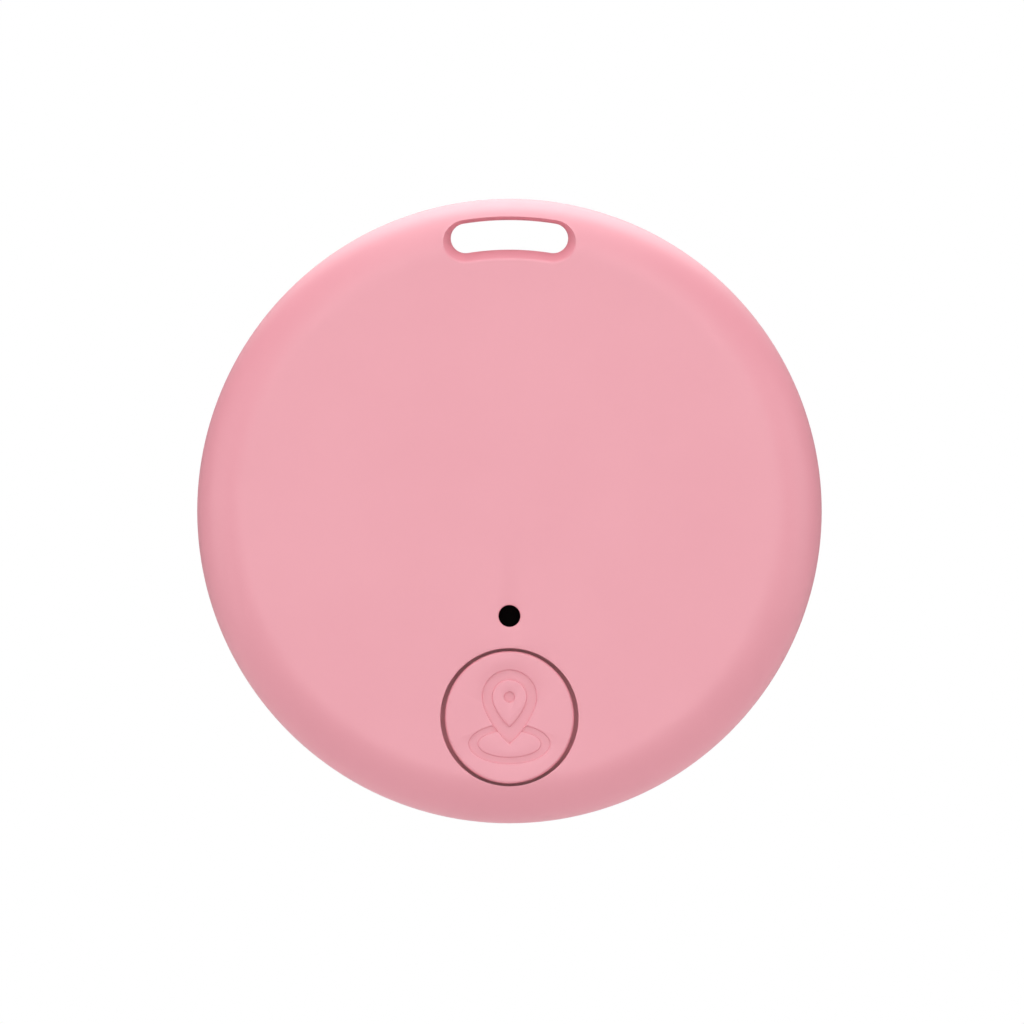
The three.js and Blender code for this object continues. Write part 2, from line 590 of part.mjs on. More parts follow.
/** A map pin: a round head whose sides draw in to a tip below it. */
function pinOutline(headRadius) {
  const y = BUTTON_Y + PIN_ABOVE_CENTRE;
  const head = circleArc(0, y, headRadius, PIN_SHOULDER_ANGLE, 180 - PIN_SHOULDER_ANGLE, CURVE_STEPS * 2);
  const slope = radians(PIN_SHOULDER_ANGLE - 90);
  const along = new THREE.Vector2(Math.cos(slope), Math.sin(slope));
  const bend = head[0].clone().addScaledVector(along, PIN_SIDE_REACH * headRadius);
  const tip = new THREE.Vector2(0, y - PIN_TIP_RATIO * headRadius);
  const side = new THREE.QuadraticBezierCurve(tip, bend, head[0]).getPoints(ROUNDING_STEPS);
  const mirrored = side.map((point) => new THREE.Vector2(-point.x, point.y)).reverse();
  return outline(side, head, mirrored);
}

function pictogramCutters() {
  const pinY = BUTTON_Y + PIN_ABOVE_CENTRE;
  const ringY = BUTTON_Y - RING_BELOW_CENTRE;
  const top = BUTTON_FACE + OVERSHOOT;
  const pinFloor = BUTTON_FACE - PIN_GROOVE_DEPTH;
  const ringFloor = BUTTON_FACE - RING_GROOVE_DEPTH;
  const ellipse = (halfX, halfY) => outline(ellipseArc(0, ringY, halfX, halfY, 0, 360, CURVE_STEPS * 4));
  const pinGroove = cut(
    prism(pinOutline(PIN_HEAD_RADIUS), pinFloor, top),
    prism(pinOutline(PIN_ISLAND_RADIUS), pinFloor - OVERSHOOT, top + OVERSHOOT),
  );
  const ringGroove = cut(
    prism(ellipse(RING_HALF_LENGTH, RING_HALF_HEIGHT), ringFloor, top),
    prism(ellipse(RING_HALF_LENGTH - RING_BAND_SIDE, RING_HALF_HEIGHT - RING_BAND_END),
      ringFloor - OVERSHOOT, top + OVERSHOOT),
    prism(pinOutline(PIN_HEAD_RADIUS), ringFloor - OVERSHOOT, top + OVERSHOOT),
  );
  const eye = prism(outline(circle(0, pinY, PIN_EYE_RADIUS, SMALL_SEGMENTS)), pinFloor, top);
  return [pinGroove, ringGroove, eye];
}

function buttonCap() {
  const inner = BUTTON_RADIUS - BUTTON_SKIRT_WALL;
  const ceiling = BUTTON_FACE - BUTTON_TOP_WALL;
  const edge = circleArc(BUTTON_RADIUS - BUTTON_EDGE_ROUND, BUTTON_FACE - BUTTON_EDGE_ROUND,
    BUTTON_EDGE_ROUND, 0, 90, SHEET_EDGE_STEPS);
  const profile = [
    [0, BUTTON_FOOT],
    [BUTTON_BOSS_RADIUS, BUTTON_FOOT],
    [BUTTON_BOSS_RADIUS, ceiling],
    [inner, ceiling],
    [inner, FLANGE_BOTTOM],
    [FLANGE_RADIUS, FLANGE_BOTTOM],
    [FLANGE_RADIUS, FLANGE_TOP],
    [BUTTON_RADIUS, FLANGE_TOP],
    ...edge,
    [0, BUTTON_FACE],
  ];
  const cap = turned(profile, { y: BUTTON_Y });
  return cut(cap, ...keyPosts(KEY_POST_RADIUS + KEY_POST_CLEARANCE), ...pictogramCutters());
}

// ---------------------------------------------------------------- sound mesh and sounder

function meshPlace() {
  return { y: SOUND_HOLE_Y + MESH_SHIFT, segments: SMALL_SEGMENTS };
}

function meshAdhesive() {
  const top = FRONT_INSIDE - SEAT_GAP;
  return ring(MESH_RADIUS - MESH_ADHESIVE_WALL, MESH_RADIUS, top - MESH_ADHESIVE_THICKNESS, top, meshPlace());
}

function soundMesh() {
  const top = FRONT_INSIDE - SEAT_GAP - MESH_ADHESIVE_THICKNESS - SEAT_GAP;
  return disc(MESH_RADIUS, top - MESH_THICKNESS, top, meshPlace());
}

function buzzerAdhesive() {
  return ring(BUZZER_RADIUS - BUZZER_RIDGE_WALL, BUZZER_RADIUS,
    BUZZER_ADHESIVE_BOTTOM, BUZZER_ADHESIVE_TOP, { y: BUZZER_Y });
}

function buzzerPlate() {
  return disc(BUZZER_RADIUS, BUZZER_PLATE_BOTTOM, BUZZER_PLATE_TOP, { y: BUZZER_Y });
}

function buzzerCeramic() {
  return disc(BUZZER_CERAMIC_RADIUS, BUZZER_CERAMIC_BOTTOM, BUZZER_CERAMIC_TOP, { y: BUZZER_Y });
}

/** A lead from under the sounder to the board beside it. */
function buzzerLead(startX, startHeight, y) {
  const boardHeight = BOARD_TOP + SEAT_GAP + LEAD_RADIUS;
  const topHeight = startHeight - SEAT_GAP - LEAD_RADIUS;
  const endX = BUZZER_RADIUS + LEAD_FOOT;
  const route = new THREE.CatmullRomCurve3([
    new THREE.Vector3(startX, y, topHeight),
    new THREE.Vector3(startX + (endX - startX) / 2, y, (topHeight + boardHeight) / 2),
    new THREE.Vector3(endX, y, boardHeight),
  ]);
  const section = outline(circle(0, 0, LEAD_RADIUS, LEAD_SIDES));
  return new THREE.ExtrudeGeometry(section, { extrudePath: route, steps: LEAD_STEPS, bevelEnabled: false });
}

/** From the plate's bare rim, outside the ceramic. */
function plateLead() {
  const bareRim = (BUZZER_CERAMIC_RADIUS + BUZZER_RADIUS) / 2;
  return buzzerLead(bareRim, BUZZER_PLATE_BOTTOM, BUZZER_Y - LEAD_SPACING / 2);
}

function ceramicLead() {
  const start = BUZZER_CERAMIC_RADIUS * CERAMIC_LEAD_SHARE;
  return buzzerLead(start, BUZZER_CERAMIC_BOTTOM, BUZZER_Y + LEAD_SPACING / 2);
}

// ---------------------------------------------------------------- coin cell

/** The positive can: a cup open towards the board, its lip crimped inwards. */
function cellCan() {
  const wallInside = CELL_RADIUS - CELL_SHEET;
  const lipInner = GASKET_LIP_OUTER + CELL_FIT;
  const lipBottom = CAN_LIP_TOP - CELL_SHEET;
  const relief = CELL_EDGE_ROUND / 2;
  const profile = [
    [0, CELL_BOTTOM],
    ...circleArc(CELL_RADIUS - CELL_EDGE_ROUND, CELL_BOTTOM + CELL_EDGE_ROUND, CELL_EDGE_ROUND,
      -90, 0, SHEET_EDGE_STEPS),
    ...circleArc(CELL_RADIUS - CELL_EDGE_ROUND, CAN_LIP_TOP - CELL_EDGE_ROUND, CELL_EDGE_ROUND,
      0, 90, SHEET_EDGE_STEPS),
    [lipInner, CAN_LIP_TOP],
    [lipInner, lipBottom],
    [wallInside - relief, lipBottom],
    [wallInside, lipBottom - relief],
    [wallInside, CELL_BOTTOM + CELL_SHEET + relief],
    [wallInside - relief, CELL_BOTTOM + CELL_SHEET],
    [0, CELL_BOTTOM + CELL_SHEET],
  ];
  return turned(profile);
}

/** The negative cap: a dish turned over, its rim inside the gasket. */
function cellCap() {
  const inside = CELL_CAP_RADIUS - CELL_SHEET;
  const ceiling = CELL_TOP - CELL_SHEET;
  const relief = CELL_EDGE_ROUND / 2;
  const profile = [
    [0, ceiling],
    [inside - relief, ceiling],
    [inside, ceiling - relief],
    [inside, GASKET_BOTTOM],
    [CELL_CAP_RADIUS, GASKET_BOTTOM],
    ...circleArc(CELL_CAP_RADIUS - CELL_EDGE_ROUND, CELL_TOP - CELL_EDGE_ROUND, CELL_EDGE_ROUND,
      0, 90, SHEET_EDGE_STEPS),
    [0, CELL_TOP],
  ];
  return turned(profile);
}

/** The gasket: it fills the wall space and stands up as a thin lip between can and cap. */
function cellGasket() {
  const inner = CELL_CAP_RADIUS + CELL_FIT;
  const outer = CELL_RADIUS - CELL_SHEET - CELL_FIT;
  const shoulder = CAN_LIP_TOP - CELL_SHEET - CELL_EDGE_ROUND / 2 - CELL_FIT;
  const lipTop = (CAN_LIP_TOP + CELL_TOP) / 2;
  const profile = [
    [inner, GASKET_BOTTOM],
    [outer, GASKET_BOTTOM],
    [outer, shoulder],
    [GASKET_LIP_OUTER, shoulder],
    [GASKET_LIP_OUTER, lipTop],
    [inner, lipTop],
    [inner, GASKET_BOTTOM],
  ];
  return turned(profile);
}

function cellCathode() {
  return disc(STACK_RADIUS, CATHODE_BOTTOM, CATHODE_TOP);
}

function cellSeparator() {
  return disc(STACK_RADIUS + SEPARATOR_LAP, SEPARATOR_BOTTOM, SEPARATOR_TOP);
}

function cellAnode() {
  return disc(STACK_RADIUS, SEPARATOR_TOP + SEAT_GAP, CELL_TOP - CELL_SHEET - SEAT_GAP);
}

function cellPad() {
  return disc(CELL_RADIUS - PAD_MARGIN, PAD_BOTTOM, PAD_TOP);
}

// ---------------------------------------------------------------- tray and contacts

/** A tray ring round the cell, open at the two side contacts and pegged to the board. */
function cellTray() {
  const pegs = PEG_ANGLES.flatMap((angle) => {
    const place = orbitPlace(PEG_ORBIT, angle);
    return [
      disc(PEG_EAR_RADIUS, SOLDER_FACE - PEG_EAR_THICKNESS, SOLDER_FACE, place),
      disc(PEG_RADIUS, SOLDER_FACE - PEG_EAR_THICKNESS / 2, BOARD_TOP - SEAT_GAP, place),
    ];
  });
  const windowWidth = CONTACT_WIDTH + 2 * TRAY_WINDOW_CLEARANCE;
  const windows = block(windowWidth, 3 * TRAY_OUTER, TRAY_BOTTOM + TRAY_HOOP, SOLDER_FACE + OVERSHOOT);
  const wall = ring(TRAY_INNER, TRAY_OUTER, TRAY_BOTTOM, SOLDER_FACE);
  return join(cut(wall, windows), ...pegs);
}

/** A side spring: its foot on the board, its leaf bearing on the can through the tray's window. */
function positiveContact(angle) {
  const touch = CELL_RADIUS + SEAT_GAP;
  const foot = SOLDER_FACE;
  const hoop = TRAY_BOTTOM + TRAY_HOOP;
  const path = [
    [TRAY_OUTER + CONTACT_FOOT, foot],
    [TRAY_OUTER, foot],
    [touch + CONTACT_SHEET, (foot + hoop) / 2 + CONTACT_SHEET * 3],
    [touch, (foot + hoop) / 2],
    [touch + CONTACT_SHEET * 3, hoop + CONTACT_SHEET],
  ];
  return atAngle(bentStrip(path, CONTACT_SHEET, CONTACT_WIDTH), angle);
}

/** The middle spring: a leaf from the board that bears on the cell's cap. */
function negativeContact() {
  const foot = SOLDER_FACE - CONTACT_SHEET;
  const touch = CELL_TOP + SEAT_GAP;
  const path = [
    [-LEAF_LENGTH * 0.6, foot],
    [-LEAF_LENGTH * 0.35, foot],
    [LEAF_LENGTH * 0.1, touch],
    [LEAF_LENGTH * 0.25, touch],
    [LEAF_LENGTH * 0.4, (foot + touch) / 2],
  ];
  return bentStrip(path, CONTACT_SHEET, CONTACT_WIDTH);
}

// ---------------------------------------------------------------- board and its parts

function circuitBoard() {
  const low = BOARD_BOTTOM - OVERSHOOT;
  const high = BOARD_TOP + OVERSHOOT;
  const plate = disc(BOARD_RADIUS, BOARD_BOTTOM, BOARD_TOP, { segments: CASE_SEGMENTS });
  const notch = prism(slotOutline(SLOT_BOSS_WALL + SLOT_BOARD_CLEARANCE), low, high);
  const postHoles = POST_ANGLES.map((angle) =>
    disc(POST_PIN_RADIUS + PIN_CLEARANCE, low, high, orbitPlace(POST_ORBIT, angle)));
  const pegHoles = PEG_ANGLES.map((angle) =>
    disc(PEG_RADIUS + PIN_CLEARANCE, low, high, orbitPlace(PEG_ORBIT, angle)));
  return cut(plate, notch, ...postHoles, ...pegHoles);
}

/** How far from the case's axis a part stands that is a share of the way across the ring. */
function ringOrbit(out) {
  return TRAY_OUTER + (BOARD_RADIUS - TRAY_OUTER) * out;
}

/** A part soldered to the rear of the board, in the ring between the tray and the board's edge. */
function ringPart({ angle, out, size: [across, along, height] }) {
  const body = block(across, along, SOLDER_FACE - height, SOLDER_FACE, ringOrbit(out), 0);
  return atAngle(body, angle);
}

/** A three-legged transistor: two legs towards the cell and one towards the rim. */
function driveTransistor() {
  const { reach, width, thickness, spacing } = TRANSISTOR_LEG;
  const half = TRANSISTOR.size[0] / 2;
  const centre = ringOrbit(TRANSISTOR.out);
  const legs = [[-1, -spacing], [-1, spacing], [1, 0]].map(([side, along]) => {
    const leg = block(2 * reach, width, SOLDER_FACE - thickness, SOLDER_FACE, centre + side * half, along);
    return atAngle(leg, TRANSISTOR.angle);
  });
  return join(ringPart(TRANSISTOR), ...legs);
}

// ---------------------------------------------------------------- push switch

function switchBase() {
  const body = block(SWITCH_SIDE, SWITCH_SIDE, SWITCH_BOTTOM, SWITCH_BASE_TOP, 0, BUTTON_Y);
  const well = disc(SWITCH_WELL_RADIUS, SWITCH_WELL_FLOOR, SWITCH_BASE_TOP + OVERSHOOT,
    { y: BUTTON_Y, segments: SMALL_SEGMENTS });
  return cut(body, well);
}

function switchDome() {
  const rise = (share) => DOME_BOTTOM + DOME_RISE * (1 - share ** 2);
  const shares = [0, 0.4, 0.75, 1];
  const under = shares.map((share) => [DOME_RADIUS * share, rise(share)]);
  const over = [...shares].reverse().map((share) => [DOME_RADIUS * share, rise(share) + DOME_SHEET]);
  return turned([...under, ...over], { y: BUTTON_Y, segments: SMALL_SEGMENTS });
}

function switchPlunger() {
  const footTop = PLUNGER_BOTTOM + PLUNGER_FOOT_THICKNESS;
  const profile = [
    [0, PLUNGER_BOTTOM],
    [PLUNGER_FOOT_RADIUS, PLUNGER_BOTTOM],
    [PLUNGER_FOOT_RADIUS, footTop],
    [PLUNGER_STEM_RADIUS, footTop],
    [PLUNGER_STEM_RADIUS, PLUNGER_TOP],
    [0, PLUNGER_TOP],
  ];
  return turned(profile, { y: BUTTON_Y, segments: SMALL_SEGMENTS });
}

/** A sheet cover over the base, holed for the plunger and bent down over two sides. */
function switchCover() {
  const top = SWITCH_COVER_BOTTOM + SWITCH_SHEET;
  const tabX = SWITCH_SIDE / 2 + SEAT_GAP + SWITCH_TAB_THICKNESS / 2;
  const width = 2 * tabX + SWITCH_TAB_THICKNESS;
  const plate = block(width, SWITCH_COVER_DEPTH, SWITCH_COVER_BOTTOM, top, 0, BUTTON_Y);
  const tabs = [-tabX, tabX].map((x) =>
    block(SWITCH_TAB_THICKNESS, SWITCH_COVER_DEPTH, SWITCH_WELL_FLOOR, top, x, BUTTON_Y));
  const hole = disc(SWITCH_HOLE_RADIUS, SWITCH_COVER_BOTTOM - OVERSHOOT, top + OVERSHOOT,
    { y: BUTTON_Y, segments: SMALL_SEGMENTS });
  return cut(join(plate, ...tabs), hole);
}

// ---------------------------------------------------------------- assembly

const bench = new THREE.Group();

function add(name, shape, look) {
  const mesh = new THREE.Mesh(geometryOf(shape), looks[look]());
  mesh.name = name;
  bench.add(mesh);
}

add('front_shell', frontShell(), 'pinkPlastic');
add('rear_cover', rearCover(), 'pinkPlastic');
add('cover_seal', coverSeal(), 'greySilicone');
add('button_cap', buttonCap(), 'pinkPlastic');

add('mesh_adhesive', meshAdhesive(), 'clearAdhesive');
add('sound_mesh', soundMesh(), 'blackMesh');
add('buzzer_adhesive', buzzerAdhesive(), 'clearAdhesive');
add('buzzer_plate', buzzerPlate(), 'brassSheet');
add('buzzer_ceramic', buzzerCeramic(), 'piezoCeramic');
add('buzzer_lead_plate', plateLead(), 'blackSleeve');
add('buzzer_lead_ceramic', ceramicLead(), 'redSleeve');

add('cell_pad', cellPad(), 'blackFoam');
add('cell_can', cellCan(), 'cellSteel');
add('cell_gasket', cellGasket(), 'nylon');
add('cell_cap', cellCap(), 'cellSteel');
add('cell_cathode', cellCathode(), 'manganese');
add('cell_separator', cellSeparator(), 'separatorFleece');
add('cell_anode', cellAnode(), 'lithium');

add('cell_tray', cellTray(), 'trayPlastic');
add('negative_contact', negativeContact(), 'springSteel');
for (const [side, angle] of Object.entries(CONTACT_ANGLES)) {
  add(`positive_contact_${side}`, positiveContact(angle), 'goldPlate');
}

add('circuit_board', circuitBoard(), 'greenBoard');
for (const part of RING_PARTS) {
  add(part.name, ringPart(part), part.look);
}
add('drive_transistor', driveTransistor(), 'blackResin');

add('switch_base', switchBase(), 'blackResin');
add('switch_dome', switchDome(), 'springSteel');
add('switch_plunger', switchPlunger(), 'trayPlastic');
add('switch_cover', switchCover(), 'springSteel');

// stands the tag up, with the cord's bearing point in the slot at the origin
bench.rotation.x = Math.PI / 2;
bench.position.set(0, CASE_THICKNESS / 2, -SLOT_OUTER);

const tag = new THREE.Group();
tag.name = 'bluetooth_tracker_tag';
tag.add(bench);

export default tag;
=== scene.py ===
"""Looks of a round tracker tag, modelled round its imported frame.

New pieces are modelled in millimetres, in the frame's own directions: x to the right, y from the
front face to the rear face, z up through the lanyard slot. A round piece is drawn as a profile of
(radius, height) points, where height runs from the rear face (0) to the front face, and is then
spun about an axis along y. A finished piece is brought to metres, which is the frame's unit.
"""

from __future__ import annotations

import logging
import math
from collections.abc import Callable, Iterable, Sequence
from dataclasses import dataclass
from enum import Enum

import bmesh
import bpy
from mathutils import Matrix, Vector


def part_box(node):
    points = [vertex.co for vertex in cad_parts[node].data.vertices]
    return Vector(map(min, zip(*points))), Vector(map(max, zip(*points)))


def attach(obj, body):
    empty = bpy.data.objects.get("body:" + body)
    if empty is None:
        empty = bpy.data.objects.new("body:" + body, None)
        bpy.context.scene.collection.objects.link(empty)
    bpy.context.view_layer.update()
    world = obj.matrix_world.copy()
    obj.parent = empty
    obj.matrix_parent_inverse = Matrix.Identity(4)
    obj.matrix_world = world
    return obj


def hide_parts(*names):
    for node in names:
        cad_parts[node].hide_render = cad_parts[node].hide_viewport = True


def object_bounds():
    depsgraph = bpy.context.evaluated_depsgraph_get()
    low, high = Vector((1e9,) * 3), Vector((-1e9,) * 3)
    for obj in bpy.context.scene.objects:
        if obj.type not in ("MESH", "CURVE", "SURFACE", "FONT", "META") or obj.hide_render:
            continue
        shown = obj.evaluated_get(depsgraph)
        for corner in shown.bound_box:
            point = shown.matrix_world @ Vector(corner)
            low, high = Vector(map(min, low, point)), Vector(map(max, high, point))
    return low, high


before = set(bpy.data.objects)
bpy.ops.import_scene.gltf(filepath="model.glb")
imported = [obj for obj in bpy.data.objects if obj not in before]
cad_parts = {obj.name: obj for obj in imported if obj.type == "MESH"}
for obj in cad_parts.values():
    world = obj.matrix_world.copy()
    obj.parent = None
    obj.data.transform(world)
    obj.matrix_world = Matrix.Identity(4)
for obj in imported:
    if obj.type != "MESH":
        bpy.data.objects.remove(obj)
cad_low, cad_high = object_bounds()

log = logging.getLogger("tracker_tag")

PER_METRE = 1000.0  # millimetres
WELD = 1e-4  # points closer than this are one point
SEAT = 0.03  # left between pieces that rest on each other
CLEAR = 1.0  # how far a cutter runs past the face that it opens
CASE_STEPS = 192
ROUND_STEPS = 96
SMALL_STEPS = 40
WEAR_CONTRAST = 6.0  # how fast wear grows as an edge gets sharper
WEAR_GRAIN = 0.7  # size of the patches that break wear up

Profile = list[tuple[float, float]]
Place = tuple[float, float, float]
Piece = bpy.types.Object
Material = bpy.types.Material
FaceTest = Callable[[Vector, Vector], bool]  # given a face's middle and its normal


# --- places taken from the frame


@dataclass(frozen=True)
class Box:
    """The box round one CAD node, in millimetres."""

    low: Vector
    high: Vector

    @classmethod
    def of(cls, node: str) -> Box:
        """The box of a CAD node.

        Args:
            node: The node's name.
        """
        low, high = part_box(node)
        return cls(low * PER_METRE, high * PER_METRE)

    @property
    def centre(self) -> Vector:
        """The middle of the box."""
        return (self.low + self.high) / 2

    @property
    def radius(self) -> float:
        """Half the box's width, which is the radius of a round node."""
        return (self.high.x - self.low.x) / 2

    @property
    def bottom(self) -> float:
        """Height of the box's rear side above the rear face."""
        return height_of(self.high.y)

    @property
    def top(self) -> float:
        """Height of the box's front side above the rear face."""
        return height_of(self.low.y)


REAR_FACE = cad_high.y * PER_METRE
THICKNESS = (cad_high.y - cad_low.y) * PER_METRE


def depth_at(height: float) -> float:
    """Where a height above the rear face lies on the y axis."""
    return REAR_FACE - height


def height_of(depth: float) -> float:
    """The height above the rear face of a place on the y axis."""
    return REAR_FACE - depth


@dataclass(frozen=True)
class Axis:
    """A line along y that round pieces are spun about."""

    x: float
    z: float

    @classmethod
    def of(cls, node: str) -> Axis:
        """The axis of a round CAD node.

        Args:
            node: The node's name.
        """
        middle = Box.of(node).centre
        return cls(middle.x, middle.z)

    def at(self, radius: float, height: float, angle: float = 0.0) -> Vector:
        """A point by its radius, its height and its angle, in degrees from the right-hand side.

        Args:
            radius: Distance from the axis.
            height: Height above the rear face.
            angle: Angle from the right towards the top.

        Returns:
            The point, in millimetres.
        """
        turn = math.radians(angle)
        return Vector(
            (self.x + radius * math.cos(turn), depth_at(height), self.z + radius * math.sin(turn))
        )

    def off(self, radius: float, angle: float) -> Axis:
        """A second axis, parallel to this one.

        Args:
            radius: Distance between the two.
            angle: Angle from the right towards the top, in degrees.
        """
        point = self.at(radius, 0.0, angle)
        return Axis(point.x, point.z)


def bend(
    radius: float,
    height: float,
    across: float,
    along: float,
    start: float,
    end: float,
    steps: int = 8,
) -> Profile:
    """Points on an elliptical corner of a profile.

    Args:
        radius: Radius of the corner's centre.
        height: Height of the corner's centre.
        across: The corner's half axis in the radius.
        along: The corner's half axis in the height.
        start: First angle in degrees, 0 outwards and 90 towards the front face.
        end: Last angle.
        steps: Edges along the corner.

    Returns:
        The points, both ends included.
    """
    turns = [math.radians(start + (end - start) * step / steps) for step in range(steps + 1)]
    return [(radius + across * math.cos(t), height + along * math.sin(t)) for t in turns]


def rod(radius: float, bottom: float, top: float) -> Profile:
    """The profile of a plain cylinder."""
    return [(0.0, bottom), (radius, bottom), (radius, top), (0.0, top)]


def tube(inner: float, outer: float, bottom: float, top: float) -> Profile:
    """The profile of a plain ring."""
    return [(inner, bottom), (outer, bottom), (outer, top), (inner, top), (inner, bottom)]


def soft_tube(
    inner: float, outer: float, bottom: float, top: float, edge: float, steps: int
) -> Profile:
    """The profile of a ring with rounded edges.

    Args:
        inner: Its inner radius.
        outer: Its outer radius.
        bottom: Height of its rear side.
        top: Height of its front side.
        edge: Radius of its edges.
        steps: Edges along each rounding.
    """
    corners = (
        (inner + edge, bottom + edge, 180, 270),
        (outer - edge, bottom + edge, 270, 360),
        (outer - edge, top - edge, 0, 90),
        (inner + edge, top - edge, 90, 180),
    )
    points = [p for r, h, start, end in corners for p in bend(r, h, edge, edge, start, end, steps)]
    return [*points, points[0]]


# --- modelling moves


class Bench:
    """Modelling moves, each one or a few of Blender's own operators."""

    @staticmethod
    def lay_down() -> None:
        """Leaves edit mode and deselects every object."""
        if bpy.context.mode != "OBJECT":
            bpy.ops.object.mode_set(mode="OBJECT")
        bpy.ops.object.select_all(action="DESELECT")

    @classmethod
    def take(cls, piece: Piece) -> None:
        """Selects one object and makes it active."""
        cls.lay_down()
        piece.select_set(True)
        bpy.context.view_layer.objects.active = piece

    @classmethod
    def open(cls, piece: Piece, everything: bool = True) -> None:
        """Takes an object into edit mode.

        Args:
            piece: The object.
            everything: Whether all of its mesh is selected, or none of it.
        """
        cls.take(piece)
        bpy.ops.object.mode_set(mode="EDIT")
        bpy.ops.mesh.select_mode(type="VERT")
        bpy.ops.mesh.select_all(action="SELECT" if everything else "DESELECT")

    @classmethod
    def chain(cls, name: str, points: Sequence[Vector]) -> Piece:
        """Draws a chain of edges, extruding one vertex from point to point. It stays in edit mode.

        Args:
            name: The new object's name.
            points: The points, in millimetres.
        """
        cls.lay_down()
        bpy.ops.mesh.primitive_plane_add(size=1.0, location=points[0])
        piece = bpy.context.active_object
        piece.name = name
        bpy.ops.object.transform_apply(location=True, rotation=False, scale=False)
        bpy.ops.object.mode_set(mode="EDIT")
        bpy.ops.mesh.select_mode(type="VERT")
        bpy.ops.mesh.select_all(action="SELECT")
        bpy.ops.mesh.merge(type="CENTER")
        for start, end in zip(points, points[1:]):
            step = tuple(Vector(end) - Vector(start))
            bpy.ops.mesh.extrude_region_move(TRANSFORM_OT_translate={"value": step})
        return piece

    @staticmethod
    def spin(axis: Axis, degrees: float, steps: int) -> None:
        """Spins what is selected about an axis, from the right towards the top.

        Args:
            axis: The axis.
            degrees: How far it turns.
            steps: Faces along the turn.
        """
        bpy.ops.mesh.spin(
            steps=steps,
            angle=math.radians(degrees),
            center=(axis.x, 0.0, axis.z),
            axis=(0.0, 1.0, 0.0),
        )

    @classmethod
    def close(cls, piece: Piece) -> Piece:
        """Welds doubled points, turns every face outwards and leaves edit mode.

        Args:
            piece: The object in edit mode.

        Returns:
            The same object.
        """
        bpy.ops.mesh.select_all(action="SELECT")
        bpy.ops.mesh.remove_doubles(threshold=WELD)
        bpy.ops.mesh.normals_make_consistent(inside=False)
        cls.lay_down()
        return piece

    @classmethod
    def lathe(
        cls, name: str, axis: Axis, profile: Profile, steps: int = ROUND_STEPS
    ) -> Piece:
        """Spins a profile right round an axis.

        Args:
            name: The new object's name.
            axis: The axis.
            profile: Its (radius, height) points, from the axis and back to it, or closed.
            steps: Faces round the piece.
        """
        return cls.turn(name, [axis.at(radius, height) for radius, height in profile], axis, steps)

    @classmethod
    def turn(
        cls, name: str, points: Sequence[Vector], axis: Axis, steps: int
    ) -> Piece:
        """Spins a chain of points right round an axis.

        Args:
            name: The new object's name.
            points: The points, in millimetres.
            axis: The axis.
            steps: Faces round the piece.
        """
        piece = cls.chain(name, points)
        bpy.ops.mesh.select_all(action="SELECT")
        cls.spin(axis, 360.0, steps)
        return cls.close(piece)

    @classmethod
    def prism(
        cls, name: str, outline: Sequence[tuple[float, float]], bottom: float, top: float
    ) -> Piece:
        """Fills an outline and extrudes it from one height to another.

        Args:
            name: The new object's name.
            outline: Its (x, z) corners in order.
            bottom: Height of its rear end.
            top: Height of its front end.
        """
        points = [Vector((x, depth_at(bottom), z)) for x, z in outline]
        piece = cls.chain(name, [*points, points[0]])
        bpy.ops.mesh.select_all(action="SELECT")
        bpy.ops.mesh.remove_doubles(threshold=WELD)
        bpy.ops.mesh.edge_face_add()
        rise = (0.0, depth_at(top) - depth_at(bottom), 0.0)
        bpy.ops.mesh.extrude_region_move(TRANSFORM_OT_translate={"value": rise})
        return cls.close(piece)

    @classmethod
    def block(cls, name: str, centre: Place, size: Place, edge: float = 0.0) -> Piece:
        """Adds a cube at its size and place, with its edges rounded.

        Args:
            name: The new object's name.
            centre: Its middle.
            size: Its sides.
            edge: Radius of its edges.
        """
        cls.lay_down()
        bpy.ops.mesh.primitive_cube_add(size=1.0, location=centre)
        piece = bpy.context.active_object
        piece.name = name
        piece.scale = size
        bpy.ops.object.transform_apply(location=True, rotation=False, scale=True)
        if edge:
            cls.round_edges(piece, edge)
        return piece

    @classmethod
    def round_edges(cls, piece: Piece, width: float, segments: int = 3) -> None:
        """Bevels every sharp edge of a piece.

        Args:
            piece: The object.
            width: How far the rounding reaches.
            segments: Faces across it.
        """
        cls.take(piece)
        rounding = piece.modifiers.new("Rounding", "BEVEL")
        rounding.width = width
        rounding.segments = segments
        rounding.limit_method = "ANGLE"
        rounding.angle_limit = math.radians(40)
        rounding.use_clamp_overlap = True
        rounding.harden_normals = False
        bpy.ops.object.modifier_apply(modifier=rounding.name)

    @classmethod
    def thicken(cls, piece: Piece, sheet: float, edge: float) -> Piece:
        """Gives a surface the thickness of sheet metal, half on each side, with soft edges.

        Args:
            piece: The object.
            sheet: The thickness.
            edge: How far the rounding of its edges reaches.

        Returns:
            The same object.
        """
        cls.take(piece)
        skin = piece.modifiers.new("Sheet", "SOLIDIFY")
        skin.thickness, skin.offset, skin.use_even_offset = sheet, 0.0, True
        bpy.ops.object.modifier_apply(modifier=skin.name)
        cls.round_edges(piece, edge, 2)
        cls.open(piece)
        return cls.close(piece)

    @classmethod
    def combine(
        cls, piece: Piece, others: Iterable[Piece], operation: str
    ) -> Piece:
        """Joins other solids to a piece or cuts them out of it, and uses them up.

        Args:
            piece: The object that stays.
            others: The solids.
            operation: UNION, DIFFERENCE or INTERSECT.

        Returns:
            The piece.
        """
        for other in others:
            cls.take(piece)
            change = piece.modifiers.new("Change", "BOOLEAN")
            change.operation = operation
            change.solver = "MANIFOLD"
            change.object = other
            bpy.ops.object.modifier_apply(modifier=change.name)
            bpy.data.objects.remove(other)
        return piece

